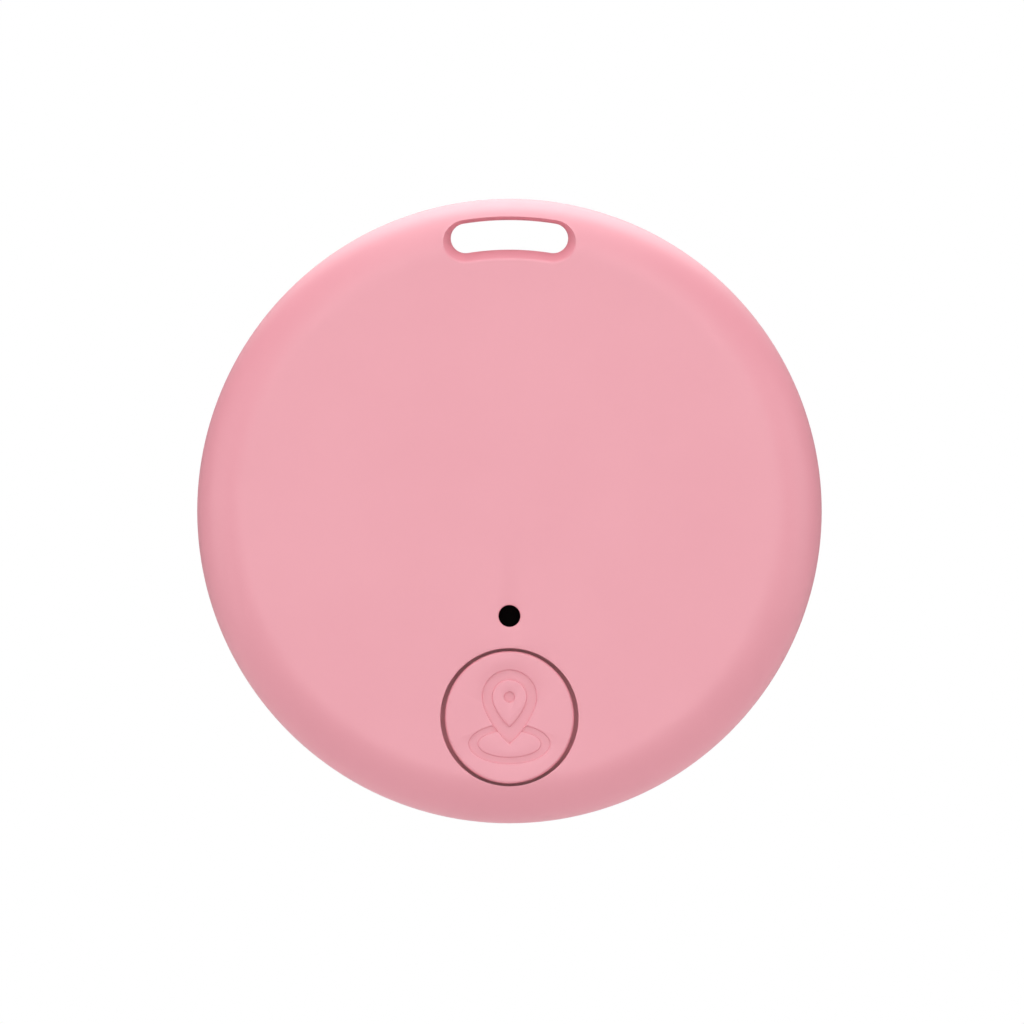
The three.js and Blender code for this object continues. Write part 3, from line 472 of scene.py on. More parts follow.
    @classmethod
    def cut(cls, piece: Piece, *tools: Piece) -> Piece:
        """Cuts solids out of a piece."""
        return cls.combine(piece, tools, "DIFFERENCE")

    @classmethod
    def add(cls, piece: Piece, *others: Piece) -> Piece:
        """Joins solids to a piece into one skin."""
        return cls.combine(piece, others, "UNION")

    @classmethod
    def gather(cls, pieces: Sequence[Piece]) -> Piece:
        """Puts several objects into the first one, each keeping its own skin.

        Args:
            pieces: The objects.

        Returns:
            The first object.
        """
        cls.take(pieces[0])
        for other in pieces[1:]:
            other.select_set(True)
        bpy.ops.object.join()
        return pieces[0]

    @classmethod
    def move(cls, piece: Piece, shift: Vector, turn: float = 0.0) -> Piece:
        """Turns a piece about the y axis through the origin, then moves it.

        Args:
            piece: The object.
            shift: How far it moves.
            turn: How far it turns, in degrees, from the right towards the top.
        """
        cls.take(piece)
        piece.rotation_euler = (0.0, -math.radians(turn), 0.0)
        piece.location = shift
        bpy.ops.object.transform_apply(location=True, rotation=True, scale=False)
        return piece

    @classmethod
    def pick(cls, piece: Piece, wanted: FaceTest) -> None:
        """Opens a piece with the faces selected that a test wants.

        Args:
            piece: The object.
            wanted: The test, given a face's middle and its normal.
        """
        cls.open(piece, everything=False)
        bpy.ops.mesh.select_mode(type="FACE")
        mesh = bmesh.from_edit_mesh(piece.data)
        for face in mesh.faces:
            face.select = wanted(face.calc_center_median(), face.normal)
        mesh.select_flush(True)
        bmesh.update_edit_mesh(piece.data)

    @classmethod
    def paint(
        cls, piece: Piece, finish: Material, wanted: FaceTest
    ) -> None:
        """Gives the faces that a test wants a finish of their own.

        Args:
            piece: The object.
            finish: The material.
            wanted: The test, given a face's middle and its normal.
        """
        cls.pick(piece, wanted)
        piece.data.materials.append(finish)
        piece.active_material_index = len(piece.data.materials) - 1
        bpy.ops.object.material_slot_assign()
        cls.lay_down()


# --- shader maths


class Wire:
    """An output of a shader node. Arithmetic on it adds Math nodes."""

    def __init__(self, graph: Graph, socket: bpy.types.NodeSocket) -> None:
        """Keeps the socket and the graph that it belongs to."""
        self.graph = graph
        self.socket = socket

    def __add__(self, other: Wire | float) -> Wire:
        """Sum."""
        return self.graph.math("ADD", self, other)

    __radd__ = __add__

    def __mul__(self, other: Wire | float) -> Wire:
        """Product."""
        return self.graph.math("MULTIPLY", self, other)

    __rmul__ = __mul__

    def __sub__(self, other: Wire | float) -> Wire:
        """Difference."""
        return self.graph.math("SUBTRACT", self, other)

    def __rsub__(self, other: Wire | float) -> Wire:
        """Difference the other way round."""
        return self.graph.math("SUBTRACT", other, self)

    def __pow__(self, other: float) -> Wire:
        """Power."""
        return self.graph.math("POWER", self, other)

    def clamped(self) -> Wire:
        """The value held between 0 and 1."""
        return self.graph.wire(self.graph.node("ShaderNodeClamp", {}, {"Value": self}))

    def step(self, low: float, high: float) -> Wire:
        """A smooth step from 0 to 1.

        Args:
            low: Where it leaves 0.
            high: Where it reaches 1.
        """
        values = {"Value": self, "From Min": low, "From Max": high}
        settings = {"interpolation_type": "SMOOTHSTEP"}
        return self.graph.wire(self.graph.node("ShaderNodeMapRange", settings, values))


class Graph:
    """A material's node tree, with its shader and the nodes that feed it."""

    def __init__(self, name: str) -> None:
        """Makes a material with a bare Principled shader.

        Args:
            name: The material's name.
        """
        self.material = bpy.data.materials.new(name)
        self.material.use_nodes = True
        self.tree = self.material.node_tree
        self.tree.nodes.clear()
        self.shader = self.node("ShaderNodeBsdfPrincipled")
        surface = self.wire(self.shader)
        self.node("ShaderNodeOutputMaterial", {}, {"Surface": surface})

    def node(
        self,
        kind: str,
        settings: dict[str, object] | None = None,
        values: dict[str | int, object] | None = None,
    ) -> bpy.types.Node:
        """Adds a node.

        Args:
            kind: Its type.
            settings: Its settings, set first.
            values: Values or wires for its sockets.

        Returns:
            The node.
        """
        made = self.tree.nodes.new(kind)
        for key, value in (settings or {}).items():
            setattr(made, key, value)
        for key, value in (values or {}).items():
            self.feed(made.inputs[key], value)
        return made

    def feed(self, socket: bpy.types.NodeSocket, value: object) -> None:
        """Links a wire to a socket, or sets the socket's own value."""
        if isinstance(value, Wire):
            self.tree.links.new(value.socket, socket)
        elif socket.type == "RGBA":
            socket.default_value = (*value, 1.0)
        else:
            socket.default_value = value

    def wire(self, node: bpy.types.Node, output: int | str = 0) -> Wire:
        """An output of a node as a wire."""
        return Wire(self, node.outputs[output])

    def math(self, operation: str, first: Wire | float, second: Wire | float) -> Wire:
        """A Math node on two values."""
        node = self.node("ShaderNodeMath", {"operation": operation}, {0: first, 1: second})
        return self.wire(node)

    def mix(self, share: Wire | float, first: Wire | Place, second: Wire | Place) -> Wire:
        """A blend of two colours.

        Args:
            share: How much of the second, 0 to 1.
            first: The first colour.
            second: The second colour.
        """
        settings = {"data_type": "RGBA"}
        return self.wire(self.node("ShaderNodeMix", settings, {0: share, 6: first, 7: second}), 2)

    def place(self, stretch: Place = (1.0, 1.0, 1.0)) -> Wire:
        """Object coordinates in millimetres, stretched along the axes."""
        here = self.wire(self.node("ShaderNodeTexCoord"), "Object")
        scale = tuple(PER_METRE * share for share in stretch)
        scaled = self.node("ShaderNodeVectorMath", {"operation": "MULTIPLY"}, {0: here, 1: scale})
        return self.wire(scaled)

    def part(self, axis: str) -> Wire:
        """One coordinate of the surface, X, Y or Z, in millimetres."""
        return self.wire(self.node("ShaderNodeSeparateXYZ", {}, {0: self.place()}), axis)

    def distance_from(self, axis: Axis) -> Wire:
        """Distance from an axis along y, in millimetres."""
        across = self.part("X") - axis.x
        up = self.part("Z") - axis.z
        return (across * across + up * up) ** 0.5

    def noise(
        self, grain: float, detail: float = 3.0, stretch: Place = (1.0, 1.0, 1.0)
    ) -> Wire:
        """Soft noise between 0 and 1.

        Args:
            grain: Size of its patches, in millimetres.
            detail: Finer layers on top.
            stretch: How the coordinates are stretched, so that patches grow long.
        """
        values = {"Vector": self.place(stretch), "Scale": 1.0 / grain, "Detail": detail}
        return self.wire(self.node("ShaderNodeTexNoise", {}, values))

    def cells(self, size: float, feature: str = "F1") -> Wire:
        """Distance to the nearest of a scatter of points.

        Args:
            size: Spacing of the points, in millimetres.
            feature: F1, or DISTANCE_TO_EDGE for the seams between cells.
        """
        values = {"Vector": self.place(), "Scale": 1.0 / size}
        return self.wire(self.node("ShaderNodeTexVoronoi", {"feature": feature}, values))

    def bump(self, height: Wire, depth: float, under: Wire | None = None) -> Wire:
        """A normal from a height.

        Args:
            height: The height, 0 to 1.
            depth: What 1 stands for, in millimetres.
            under: A normal that this one adds to.
        """
        values: dict[str | int, object] = {"Height": height, "Distance": depth / PER_METRE}
        if under is not None:
            values["Normal"] = under
        return self.wire(self.node("ShaderNodeBump", {}, values))

    def rubbed(self, reach: float) -> Wire:
        """How close the surface is to an outer edge, 0 to 1, broken up by noise.

        Args:
            reach: How far from an edge the wear reaches, in millimetres.
        """
        soft = self.node("ShaderNodeBevel", {"samples": 4}, {"Radius": reach / PER_METRE})
        true = self.wire(self.node("ShaderNodeNewGeometry"), "Normal")
        values = {0: self.wire(soft), 1: true}
        product = self.node("ShaderNodeVectorMath", {"operation": "DOT_PRODUCT"}, values)
        alike = self.wire(product, "Value")
        return ((1.0 - alike) * WEAR_CONTRAST * self.noise(WEAR_GRAIN)).clamped()

    def finish(self, **values: object) -> Material:
        """Feeds the shader's sockets and gives the finished material.

        Args:
            values: Socket names, with _ for a space, and their values or wires.
        """
        for key, value in values.items():
            self.feed(self.shader.inputs[key.replace("_", " ")], value)
        return self.material


# --- finishes


class Texture(Enum):
    """What breaks up a plain surface."""

    MOULDED = "the fine spark grain of a moulding tool"
    POLISHED = "hardly anything"
    BRUSHED = "rolling lines along x"
    SPECKLED = "fired grains"
    FOAM = "open cells"
    FLEECE = "pressed fibres"
    WOVEN = "crossed threads"


@dataclass(frozen=True)
class Finish:
    """A surface of one stuff: its colour and how it varies, its gloss and its relief."""

    name: str
    colour: Place
    second: Place
    roughness: float
    texture: Texture = Texture.MOULDED
    grain: float = 0.12
    relief: float = 0.004
    metal: float = 0.0
    wear: float = 0.12
    worn: Place | None = None
    shine: float = 0.5

    def relief_of(self, graph: Graph) -> Wire:
        """The height pattern of this finish's texture, 0 to 1."""
        if self.texture is Texture.BRUSHED:
            return graph.noise(self.grain, 2.0, (0.06, 1.0, 1.0))
        if self.texture is Texture.SPECKLED:
            return graph.cells(self.grain)
        if self.texture is Texture.FOAM:
            return 1.0 - graph.cells(self.grain, "DISTANCE_TO_EDGE") * 3.0
        if self.texture is Texture.FLEECE:
            along = graph.noise(self.grain, 4.0, (0.15, 1.0, 1.0))
            return (along + graph.noise(self.grain, 4.0, (1.0, 1.0, 0.15))) * 0.5
        if self.texture is Texture.WOVEN:
            turns = 2.0 * math.pi / self.grain
            across = graph.math("SINE", graph.part("X") * turns, 0.0)
            up = graph.math("SINE", graph.part("Z") * turns, 0.0)
            return (across * up + 1.0) * 0.5
        return graph.noise(self.grain, 3.0)

    def material(self) -> Material:
        """Builds the material."""
        graph = Graph(self.name)
        relief = self.relief_of(graph)
        patches = graph.noise(4.0 if self.texture is not Texture.BRUSHED else 1.5, 4.0)
        rubbed = graph.rubbed(self.wear)
        colour = graph.mix(patches * 0.6 + relief * 0.4, self.colour, self.second)
        bright = self.worn or tuple(min(1.0, 1.25 * share + 0.02) for share in self.colour)
        colour = graph.mix(rubbed * 0.6, colour, bright)
        rough = self.roughness + (patches - 0.5) * 0.16 + (relief - 0.5) * 0.08 - rubbed * 0.12
        return graph.finish(
            Base_Color=colour,
            Roughness=rough.clamped(),
            Metallic=self.metal,
            Specular_IOR_Level=self.shine,
            Normal=graph.bump(relief, self.relief),
        )


@dataclass(frozen=True)
class CasePlastic:
    """Dyed moulded plastic with a very fine, even grain, polished a little where hands rub it."""

    name: str
    axis: Axis
    rim: float
    colour: Place = (0.84, 0.34, 0.402)
    deep: Place = (0.81, 0.318, 0.38)
    pale: Place = (0.87, 0.39, 0.45)
    roughness: float = 0.46

    def material(self) -> Material:
        """Builds the material."""
        graph = Graph(self.name)
        clouds = graph.noise(9.0, 2.0)
        grain = graph.noise(0.09, 2.0)
        flow = graph.noise(2.5, 3.0, (1.0, 1.0, 0.4))
        rubbed = graph.rubbed(0.15)
        handled = graph.distance_from(self.axis).step(self.rim - 2.2, self.rim) * graph.noise(3.0)
        colour = graph.mix(clouds.step(0.3, 0.7) * 0.35 + flow * 0.1, self.colour, self.deep)
        colour = graph.mix(rubbed * 0.35, colour, self.pale)
        rough = self.roughness + (grain - 0.5) * 0.10 + (clouds - 0.5) * 0.06
        rough = rough - handled * 0.10 - rubbed * 0.10
        fine = graph.bump(grain, 0.0022)
        return graph.finish(
            Base_Color=colour,
            Roughness=rough.clamped(),
            Normal=graph.bump(flow, 0.0025, fine),
            IOR=1.5,
        )


@dataclass(frozen=True)
class SolderMask:
    """Green mask over etched copper: the tracks show as raised paler lines."""

    name: str
    axis: Axis
    mask: Place = (0.008, 0.085, 0.045)
    track: Place = (0.02, 0.16, 0.08)
    rim: float = 16.5

    def material(self) -> Material:
        """Builds the material."""
        graph = Graph(self.name)
        values = {"Vector": graph.place((1.0, 0.0, 1.0)), "Scale": 0.55, "Randomness": 0.35}
        settings = {"feature": "DISTANCE_TO_EDGE"}
        edge = graph.wire(graph.node("ShaderNodeTexVoronoi", settings, values))
        tracks = 1.0 - edge.step(0.05, 0.075)
        plane = graph.noise(6.0, 1.0).step(0.48, 0.5)
        copper = graph.math("MAXIMUM", tracks, plane)
        weave = graph.noise(0.3, 2.0)
        edge_band = graph.distance_from(self.axis).step(self.rim - 0.35, self.rim - 0.3)
        copper = copper * (1.0 - edge_band)
        colour = graph.mix(copper * 0.8 + weave * 0.1, self.mask, self.track)
        rubbed = graph.rubbed(0.08)
        colour = graph.mix(rubbed * 0.5, colour, (0.2, 0.3, 0.12))
        return graph.finish(
            Base_Color=colour,
            Roughness=(0.28 + weave * 0.12).clamped(),
            Normal=graph.bump(copper + weave * 0.15, 0.02),
        )


FINISH_ROWS = {  # name, colour, second colour, roughness, grain, relief and metal
    Texture.POLISHED: (
        ("clear_adhesive", (0.62, 0.58, 0.47), (0.72, 0.69, 0.6), 0.45, 0.5),
    ),
    Texture.FOAM: (
        ("black_foam", (0.010, 0.010, 0.011), (0.022, 0.022, 0.023), 0.95, 0.22, 0.05),
    ),
    Texture.MOULDED: (
        ("grey_silicone", (0.40, 0.42, 0.44), (0.47, 0.48, 0.50), 0.55, 0.2, 0.004),
        ("tray_plastic", (0.76, 0.73, 0.66), (0.82, 0.80, 0.74), 0.48, 0.12, 0.004),
        ("tantalum_resin", (0.66, 0.33, 0.04), (0.74, 0.40, 0.07), 0.5, 0.1, 0.004),
        ("stripe_ink", (0.30, 0.10, 0.02), (0.36, 0.13, 0.03), 0.55, 0.1, 0.002),
        ("nylon_gasket", (0.035, 0.065, 0.10), (0.05, 0.085, 0.13), 0.5, 0.15, 0.003),
        ("red_sleeve", (0.42, 0.018, 0.012), (0.52, 0.03, 0.02), 0.42, 0.2, 0.002),
        ("black_sleeve", (0.010, 0.010, 0.010), (0.02, 0.02, 0.02), 0.42, 0.2, 0.002),
    ),
    Texture.SPECKLED: (
        ("black_resin", (0.011, 0.011, 0.012), (0.028, 0.028, 0.030), 0.6, 0.06, 0.006),
        ("silvering", (0.66, 0.66, 0.62), (0.76, 0.76, 0.73), 0.45, 0.10, 0.004, 0.9),
        ("piezo_ceramic", (0.62, 0.59, 0.50), (0.72, 0.70, 0.62), 0.6, 0.08, 0.005),
        ("tin", (0.62, 0.63, 0.64), (0.74, 0.75, 0.76), 0.34, 0.14, 0.004, 1.0),
        ("capacitor_ceramic", (0.36, 0.22, 0.11), (0.44, 0.29, 0.16), 0.5, 0.05, 0.003),
        ("antenna_ceramic", (0.74, 0.76, 0.78), (0.82, 0.84, 0.85), 0.35, 0.07, 0.003),
        ("ferrite", (0.030, 0.031, 0.033), (0.055, 0.056, 0.058), 0.62, 0.09, 0.008),
        ("manganese_oxide", (0.016, 0.015, 0.012), (0.035, 0.033, 0.028), 0.92, 0.1, 0.03),
    ),
    Texture.BRUSHED: (
        ("cell_steel", (0.56, 0.57, 0.58), (0.66, 0.66, 0.67), 0.30, 0.05, 0.002, 1.0),
        ("spring_steel", (0.60, 0.57, 0.50), (0.70, 0.67, 0.60), 0.28, 0.04, 0.002, 1.0),
        ("gold_plate", (0.86, 0.60, 0.22), (0.93, 0.70, 0.32), 0.26, 0.05, 0.002, 1.0),
        ("brass", (0.72, 0.50, 0.20), (0.80, 0.60, 0.28), 0.32, 0.07, 0.003, 1.0),
        ("crystal_can", (0.58, 0.59, 0.60), (0.68, 0.68, 0.69), 0.24, 0.04, 0.001, 1.0),
        ("lithium", (0.40, 0.41, 0.43), (0.52, 0.53, 0.55), 0.45, 0.2, 0.01, 1.0),
    ),
    Texture.FLEECE: (
        ("separator_fleece", (0.80, 0.79, 0.75), (0.88, 0.87, 0.84), 0.92, 0.1, 0.01),
        ("laminate_edge", (0.42, 0.40, 0.20), (0.52, 0.50, 0.28), 0.65, 0.12, 0.01),
    ),
}

PLAIN_FINISHES = {
    name: Finish(name, colour, second, roughness, texture, *rest)
    for texture, rows in FINISH_ROWS.items()
    for name, colour, second, roughness, *rest in rows
}
# The acoustic mesh is black, but its near-zero colour, its worn colour and its reflection turned
# down almost to nothing are painted shade. They are darker than any real black, so that the sound
# hole reads as a deep, shadowed hole.
PLAIN_FINISHES["black_mesh"] = Finish(
    "black_mesh",
    (0.0015, 0.0015, 0.0015),
    (0.004, 0.004, 0.004),
    0.9,
    Texture.WOVEN,
    0.12,
    0.02,
    worn=(0.005, 0.005, 0.005),
    shine=0.04,
)


class Paints:
    """The finished materials, each built once and shared."""

    made: dict[str, Material] = {}

    @classmethod
    def get(cls, name: str) -> Material:
        """The material of a plain finish.

        Args:
            name: The finish's name.
        """
        if name not in cls.made:
            cls.made[name] = PLAIN_FINISHES[name].material()
        return cls.made[name]

    @classmethod
    def keep(cls, finish: CasePlastic | SolderMask) -> Material:
        """Builds a finish that isn't a plain one, once."""
        if finish.name not in cls.made:
            cls.made[finish.name] = finish.material()
        return cls.made[finish.name]


def dress(piece: Piece, finish: Material) -> None:
    """Gives a piece its main finish, which is on every face that no paint has changed."""
    piece.data.materials.clear()
    piece.data.materials.append(finish)


def deliver(
    piece: Piece, body: str, nodes: Sequence[str], smooth: float = 38.0
) -> None:
    """Brings a modelled piece to metres, smooths it and puts it in the frame.

    Args:
        piece: The object, in millimetres.
        body: The body that it rides on.
        nodes: The CAD nodes that it stands for.
        smooth: Edges sharper than this many degrees stay sharp.
    """
    Bench.take(piece)
    piece.scale = (1.0 / PER_METRE,) * 3
    bpy.ops.object.transform_apply(location=False, rotation=False, scale=True)
    bpy.ops.object.shade_smooth_by_angle(angle=math.radians(smooth))
    weights = piece.modifiers.new("Flat faces", "WEIGHTED_NORMAL")
    weights.keep_sharp = True
    weights.weight = 80
    bpy.ops.object.modifier_apply(modifier=weights.name)
    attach(piece, body)
    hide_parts(*nodes)
    log.info("%s: %d faces, rides on %s", piece.name, len(piece.data.polygons), body)


# --- case


@dataclass(frozen=True)
class LanyardSlot:
    """The arc-shaped slot near the rim, as the cutters and the wall round it."""

    case: Axis
    rim: float
    half_height: float = 0.9
    half_length: float = 3.57
    edge_wall: float = 1.3
    boss_wall: float = 0.8
    flare: float = 0.54
    flare_depth: float = 1.2
    lip: float = 0.22

    @property
    def centreline(self) -> float:
        """Radius of the slot's middle line."""
        return self.rim - self.edge_wall - self.half_height

    @property
    def spread(self) -> float:
        """Angle from the top to either end's centre, in degrees."""
        return math.degrees(math.asin((self.half_length - self.half_height) / self.centreline))

    def solid(self, name: str, profile: Profile) -> Piece:
        """Sweeps a half section right round the slot's middle line.

        Args:
            name: The new object's name.
            profile: The section as (distance from the middle line, height) points, starting and
                ending on the middle line.
        """
        right, left = 90.0 - self.spread, 90.0 + self.spread
        points = [self.case.at(self.centreline + half, height, right) for half, height in profile]
        piece = Bench.chain(name, points)
        bpy.ops.mesh.select_all(action="SELECT")
        Bench.spin(self.case, 2.0 * self.spread, 28)
        Bench.spin(self.case.off(self.centreline, left), 180.0, 20)
        Bench.spin(self.case, -2.0 * self.spread, 28)
        Bench.spin(self.case.off(self.centreline, right), 180.0, 20)
        return Bench.close(piece)

    def wall(self, name: str, bottom: float, top: float, margin: float) -> Piece:
        """A plain solid of the slot's outline grown by a margin, between two heights."""
        half = self.half_height + margin
        return self.solid(name, rod(half, bottom, top))

    def opening(self) -> Piece:
        """What the slot takes out of the case: a throat and two flared mouths with soft lips."""
        mouth = self.half_height + self.flare
        slope = math.atan2(self.flare, self.flare_depth)
        turn = math.pi / 2 - slope
        tangent = self.lip * math.tan(turn / 2)
        half_profile: Profile = [(0.0, THICKNESS + CLEAR), (mouth + tangent, THICKNESS + CLEAR)]
        for step in range(7):
            angle = turn * step / 6
            half_profile.append(
                (
                    mouth + tangent - self.lip * math.sin(angle),
                    THICKNESS - self.lip * (1.0 - math.cos(angle)),
                )
            )
        half_profile.append((self.half_height + 0.02, THICKNESS - self.flare_depth + 0.06))
        half_profile.append((self.half_height, THICKNESS - self.flare_depth - 0.1))
        mirrored = [(half, THICKNESS - height) for half, height in reversed(half_profile)]
        return self.solid("slot_opening", [*half_profile, *mirrored])


@dataclass
class FrontCase:
    """The front half of the case, one moulding with its posts, ridge and key posts inside."""

    slot: LanyardSlot
    finish: Material
    node: str = "front_shell"
    wall: float = 1.0
    side_wall: float = 1.2
    round_width: float = 2.95
    round_depth: float = 3.05
    ledge: float = 0.5
    ledge_drop: float = 0.4
    edge: float = 0.12
    hole_lip: float = 0.09
    button_clearance: float = 0.17
    button_lip: float = 0.06
    flange_clearance: float = 0.25
    flange_room: float = 0.42
    sound_radius: float = 0.665
    sound_gap: float = 1.3
    ridge_wall: float = 0.4
    ridge_height: float = 0.3
    post_angles: tuple[float, ...] = (38.0, 142.0, 218.0, 322.0)
    post_rim: float = 4.2
    post_radius: float = 1.1
    pin_radius: float = 0.5
    head_radius: float = 0.85
    head_height: float = 0.3
    key_radius: float = 0.4
    key_gap: float = 0.2
    key_length: float = 0.85

    def __post_init__(self) -> None:
        """Reads the case's own place from the frame."""
        box = Box.of(self.node)
        self.axis = self.slot.case
        self.rim = box.radius
        self.split = box.bottom
        self.inside = THICKNESS - self.wall
        self.face_radius = self.rim - self.round_width
        self.round_start = THICKNESS - self.round_depth
        self.bore = self.rim - self.side_wall
        self.root = self.inside + self.wall / 2
        button = Box.of("button_cap")
        self.button_axis = Axis.of("button_cap")
        self.flange = button.radius

    def body(self) -> Piece:
        """The outside as one full solid."""
        foot = bend(self.rim - self.edge, self.split + self.edge, self.edge, self.edge, -90, 0, 4)
        corner = bend(
            self.face_radius, self.round_start, self.round_width, self.round_depth, 0, 90, 28
        )
        face = [(self.face_radius / 2, THICKNESS), (0.0, THICKNESS)]
        profile = [(0.0, self.split), *foot, *corner, *face]
        return Bench.lathe("case_front", self.axis, profile, CASE_STEPS)

    def cavity(self) -> Piece:
        """The room inside."""
        ledge_bore = self.bore - self.ledge
        ledge_height = self.round_start - self.ledge_drop
        corner = bend(
            self.face_radius, self.round_start, ledge_bore - self.face_radius,
            self.round_depth - self.wall, 0, 90, 12,
        )
        profile = [
            (0.0, self.split - CLEAR),
            (self.bore, self.split - CLEAR),
            (self.bore, ledge_height),
            (ledge_bore, ledge_height),
            *corner,
            (0.0, self.inside),
        ]
        return Bench.lathe("cavity", self.axis, profile, CASE_STEPS)

    def post(self, angle: float) -> Piece:
        """A post under the front wall, its pin through the board and its staked head."""
        board = Box.of("circuit_board")
        top, bottom = board.top + SEAT, board.bottom - SEAT
        head = bend(0.0, bottom, self.head_radius, self.head_height, -90, 0, 8)
        profile = [
            *head,
            (self.pin_radius, bottom),
            (self.pin_radius, top),
            (self.post_radius, top),
            (self.post_radius, self.root),
            (0.0, self.root),
        ]
        axis = self.axis.off(self.rim - self.post_rim, angle)
        return Bench.lathe("post", axis, profile, SMALL_STEPS)

    def key_post(self, side: float) -> Piece:
        """A post that keeps the button from turning. side is 1 on the right and -1 on the left."""
        reach = self.hole_radius + self.key_gap + self.key_radius
        axis = Axis(self.button_axis.x + side * reach, self.button_axis.z)
        foot = self.inside - self.key_length
        return Bench.lathe("key_post", axis, rod(self.key_radius, foot, self.root), SMALL_STEPS)

    @property
    def hole_radius(self) -> float:
        """Radius of the button's hole."""
        return PushButton.radius + self.button_clearance

    def ridge(self) -> Piece:
        """The ring that the sounder is glued to."""
        plate = Box.of("buzzer_plate")
        outer, foot = plate.radius, self.inside - self.ridge_height
        inner = outer - self.ridge_wall
        return Bench.lathe("ridge", Axis.of("buzzer_plate"), tube(inner, outer, foot, self.root))

    def round_hole(self, name: str, axis: Axis, radius: float, lip: float) -> Piece:
        """A cutter for a round hole in the front wall, with a softened outer edge."""
        lip_arc = bend(radius + lip, THICKNESS - lip, lip, lip, 180, 90, 6)
        profile = [
            (0.0, self.inside - CLEAR / 4),
            (radius, self.inside - CLEAR / 4),
            *lip_arc,
            (radius + lip, THICKNESS + CLEAR),
            (0.0, THICKNESS + CLEAR),
        ]
        return Bench.lathe(name, axis, profile, CASE_STEPS)

    def build(self) -> None:
        """Models the piece and puts it in the frame."""
        inside = self.cavity()
        pocket_foot = Box.of("button_cap").bottom - self.flange_room
        pocket = self.flange + self.flange_clearance
        profile = rod(pocket, pocket_foot, self.inside)
        Bench.add(inside, Bench.lathe("pocket", self.button_axis, profile))
        Bench.cut(
            inside,
            self.slot.wall("boss", self.split - CLEAR, self.root, self.slot.boss_wall),
            self.ridge(),
            *(self.post(angle) for angle in self.post_angles),
            *(self.key_post(side) for side in (-1.0, 1.0)),
        )
        sound_axis = Axis(
            self.button_axis.x,
            self.button_axis.z + self.hole_radius + self.sound_gap + self.sound_radius,
        )
        piece = Bench.cut(
            self.body(),
            inside,
            self.round_hole("button_hole", self.button_axis, self.hole_radius, self.button_lip),
            self.round_hole("sound_hole", sound_axis, self.sound_radius, self.hole_lip),
            self.slot.opening(),
        )
        dress(piece, self.finish)
        deliver(piece, "case", [self.node])


@dataclass
class RearCover:
    """The rear half of the case: a dish with its skirt, snap bead and pry notch."""

    slot: LanyardSlot
    finish: Material
    node: str = "rear_cover"
    wall: float = 1.0
    rounding: float = 2.4
    edge: float = 0.12
    reveal: float = 0.1
    side_wall: float = 1.2
    skirt_wall: float = 0.75
    skirt_clearance: float = 0.3
    bead_height: float = 0.25
    bead_length: float = 0.6
    pad_ring_wall: float = 0.6
    pad_ring_clearance: float = 0.15
    pad_ring_gap: float = 0.3
    skirt_slot_gap: float = 0.15
    notch: tuple[float, float, float] = (5.0, 0.7, 0.5)

    def build(self) -> None:
        """Models the piece and puts it in the frame."""
        box = Box.of(self.node)
        axis, rim = self.slot.case, Box.of("front_shell").radius
        split = Box.of("front_shell").bottom
        top, skirt_top = split - self.reveal, box.top
        outer = rim - self.side_wall - self.skirt_clearance
        inner = outer - self.skirt_wall
        corner = bend(rim - self.rounding, self.rounding, self.rounding, self.rounding, -90, 0, 24)
        lip = bend(rim - self.edge, top - self.edge, self.edge, self.edge, 0, 90, 4)
        piece = Bench.lathe("case_rear", axis, [(0.0, 0.0), *corner, *lip, (0.0, top)], CASE_STEPS)
        space = Bench.lathe("space", axis, rod(inner, self.wall, top + CLEAR), CASE_STEPS)
        tray = Box.of("cell_tray")
        ring_inner = Box.of("cell_can").radius + self.pad_ring_clearance
        ring_top = tray.bottom - self.pad_ring_gap
        ring = tube(ring_inner, ring_inner + self.pad_ring_wall, 0.0, ring_top)
        Bench.cut(
            space,
            self.slot.wall("boss", 0.0, top, self.slot.boss_wall),
            Bench.lathe("pad_ring", axis, ring),
        )
        Bench.cut(piece, space)
        middle, half = (split + skirt_top) / 2, self.bead_length / 2
        chamfer = self.skirt_wall / 4
        skirt_profile = [
            (inner, self.wall),
            (outer, self.wall),
            (outer, middle - half),
            *bend(outer, middle, self.bead_height, half * 0.8, -80, 80, 8),
            (outer, middle + half),
            (outer, skirt_top - chamfer),
            (outer - chamfer, skirt_top),
            (inner, skirt_top),
            (inner, self.wall),
        ]
        skirt = Bench.lathe("skirt", axis, skirt_profile, CASE_STEPS)
        margin = self.slot.boss_wall + self.skirt_slot_gap
        Bench.cut(skirt, self.slot.wall("gap", top, skirt_top + CLEAR, margin))
        Bench.add(piece, skirt)
        width, depth, height = self.notch
        notch_middle = (axis.x, depth_at(top - height / 2 + CLEAR / 2), axis.z - rim)
        notch = Bench.block("notch", notch_middle, (width, height + CLEAR, 2 * depth), 0.12)
        Bench.cut(piece, notch, self.slot.opening())
        dress(piece, self.finish)
        deliver(piece, "cover", [self.node])


@dataclass
class Seal:
    """The silicone ring between the halves, with two fine ribs on its rear side."""

    slot: LanyardSlot
    node: str = "cover_seal"
    width: float = 0.4
    rib: float = 0.05

    def build(self) -> None:
        """Models the piece and puts it in the frame."""
        box = Box.of(self.node)
        outer = box.radius
        top, bottom = box.top, box.bottom
        inner, foot = outer - self.width, bottom + self.rib
        ribs = [
            point
            for centre in (inner + self.width * 0.27, inner + self.width * 0.73)
            for point in bend(centre, foot, self.width * 0.16, self.rib, -180, 0, 6)
        ]
        profile = [(inner, foot), *ribs, (outer, foot), (outer, top), (inner, top), (inner, foot)]
        piece = Bench.lathe("seal_ring", self.slot.case, profile, CASE_STEPS)
        margin = self.slot.boss_wall + SEAT
        Bench.cut(piece, self.slot.wall("gap", bottom - CLEAR, top + CLEAR, margin))
        dress(piece, Paints.get("grey_silicone"))
        deliver(piece, "case", [self.node])


# --- push button

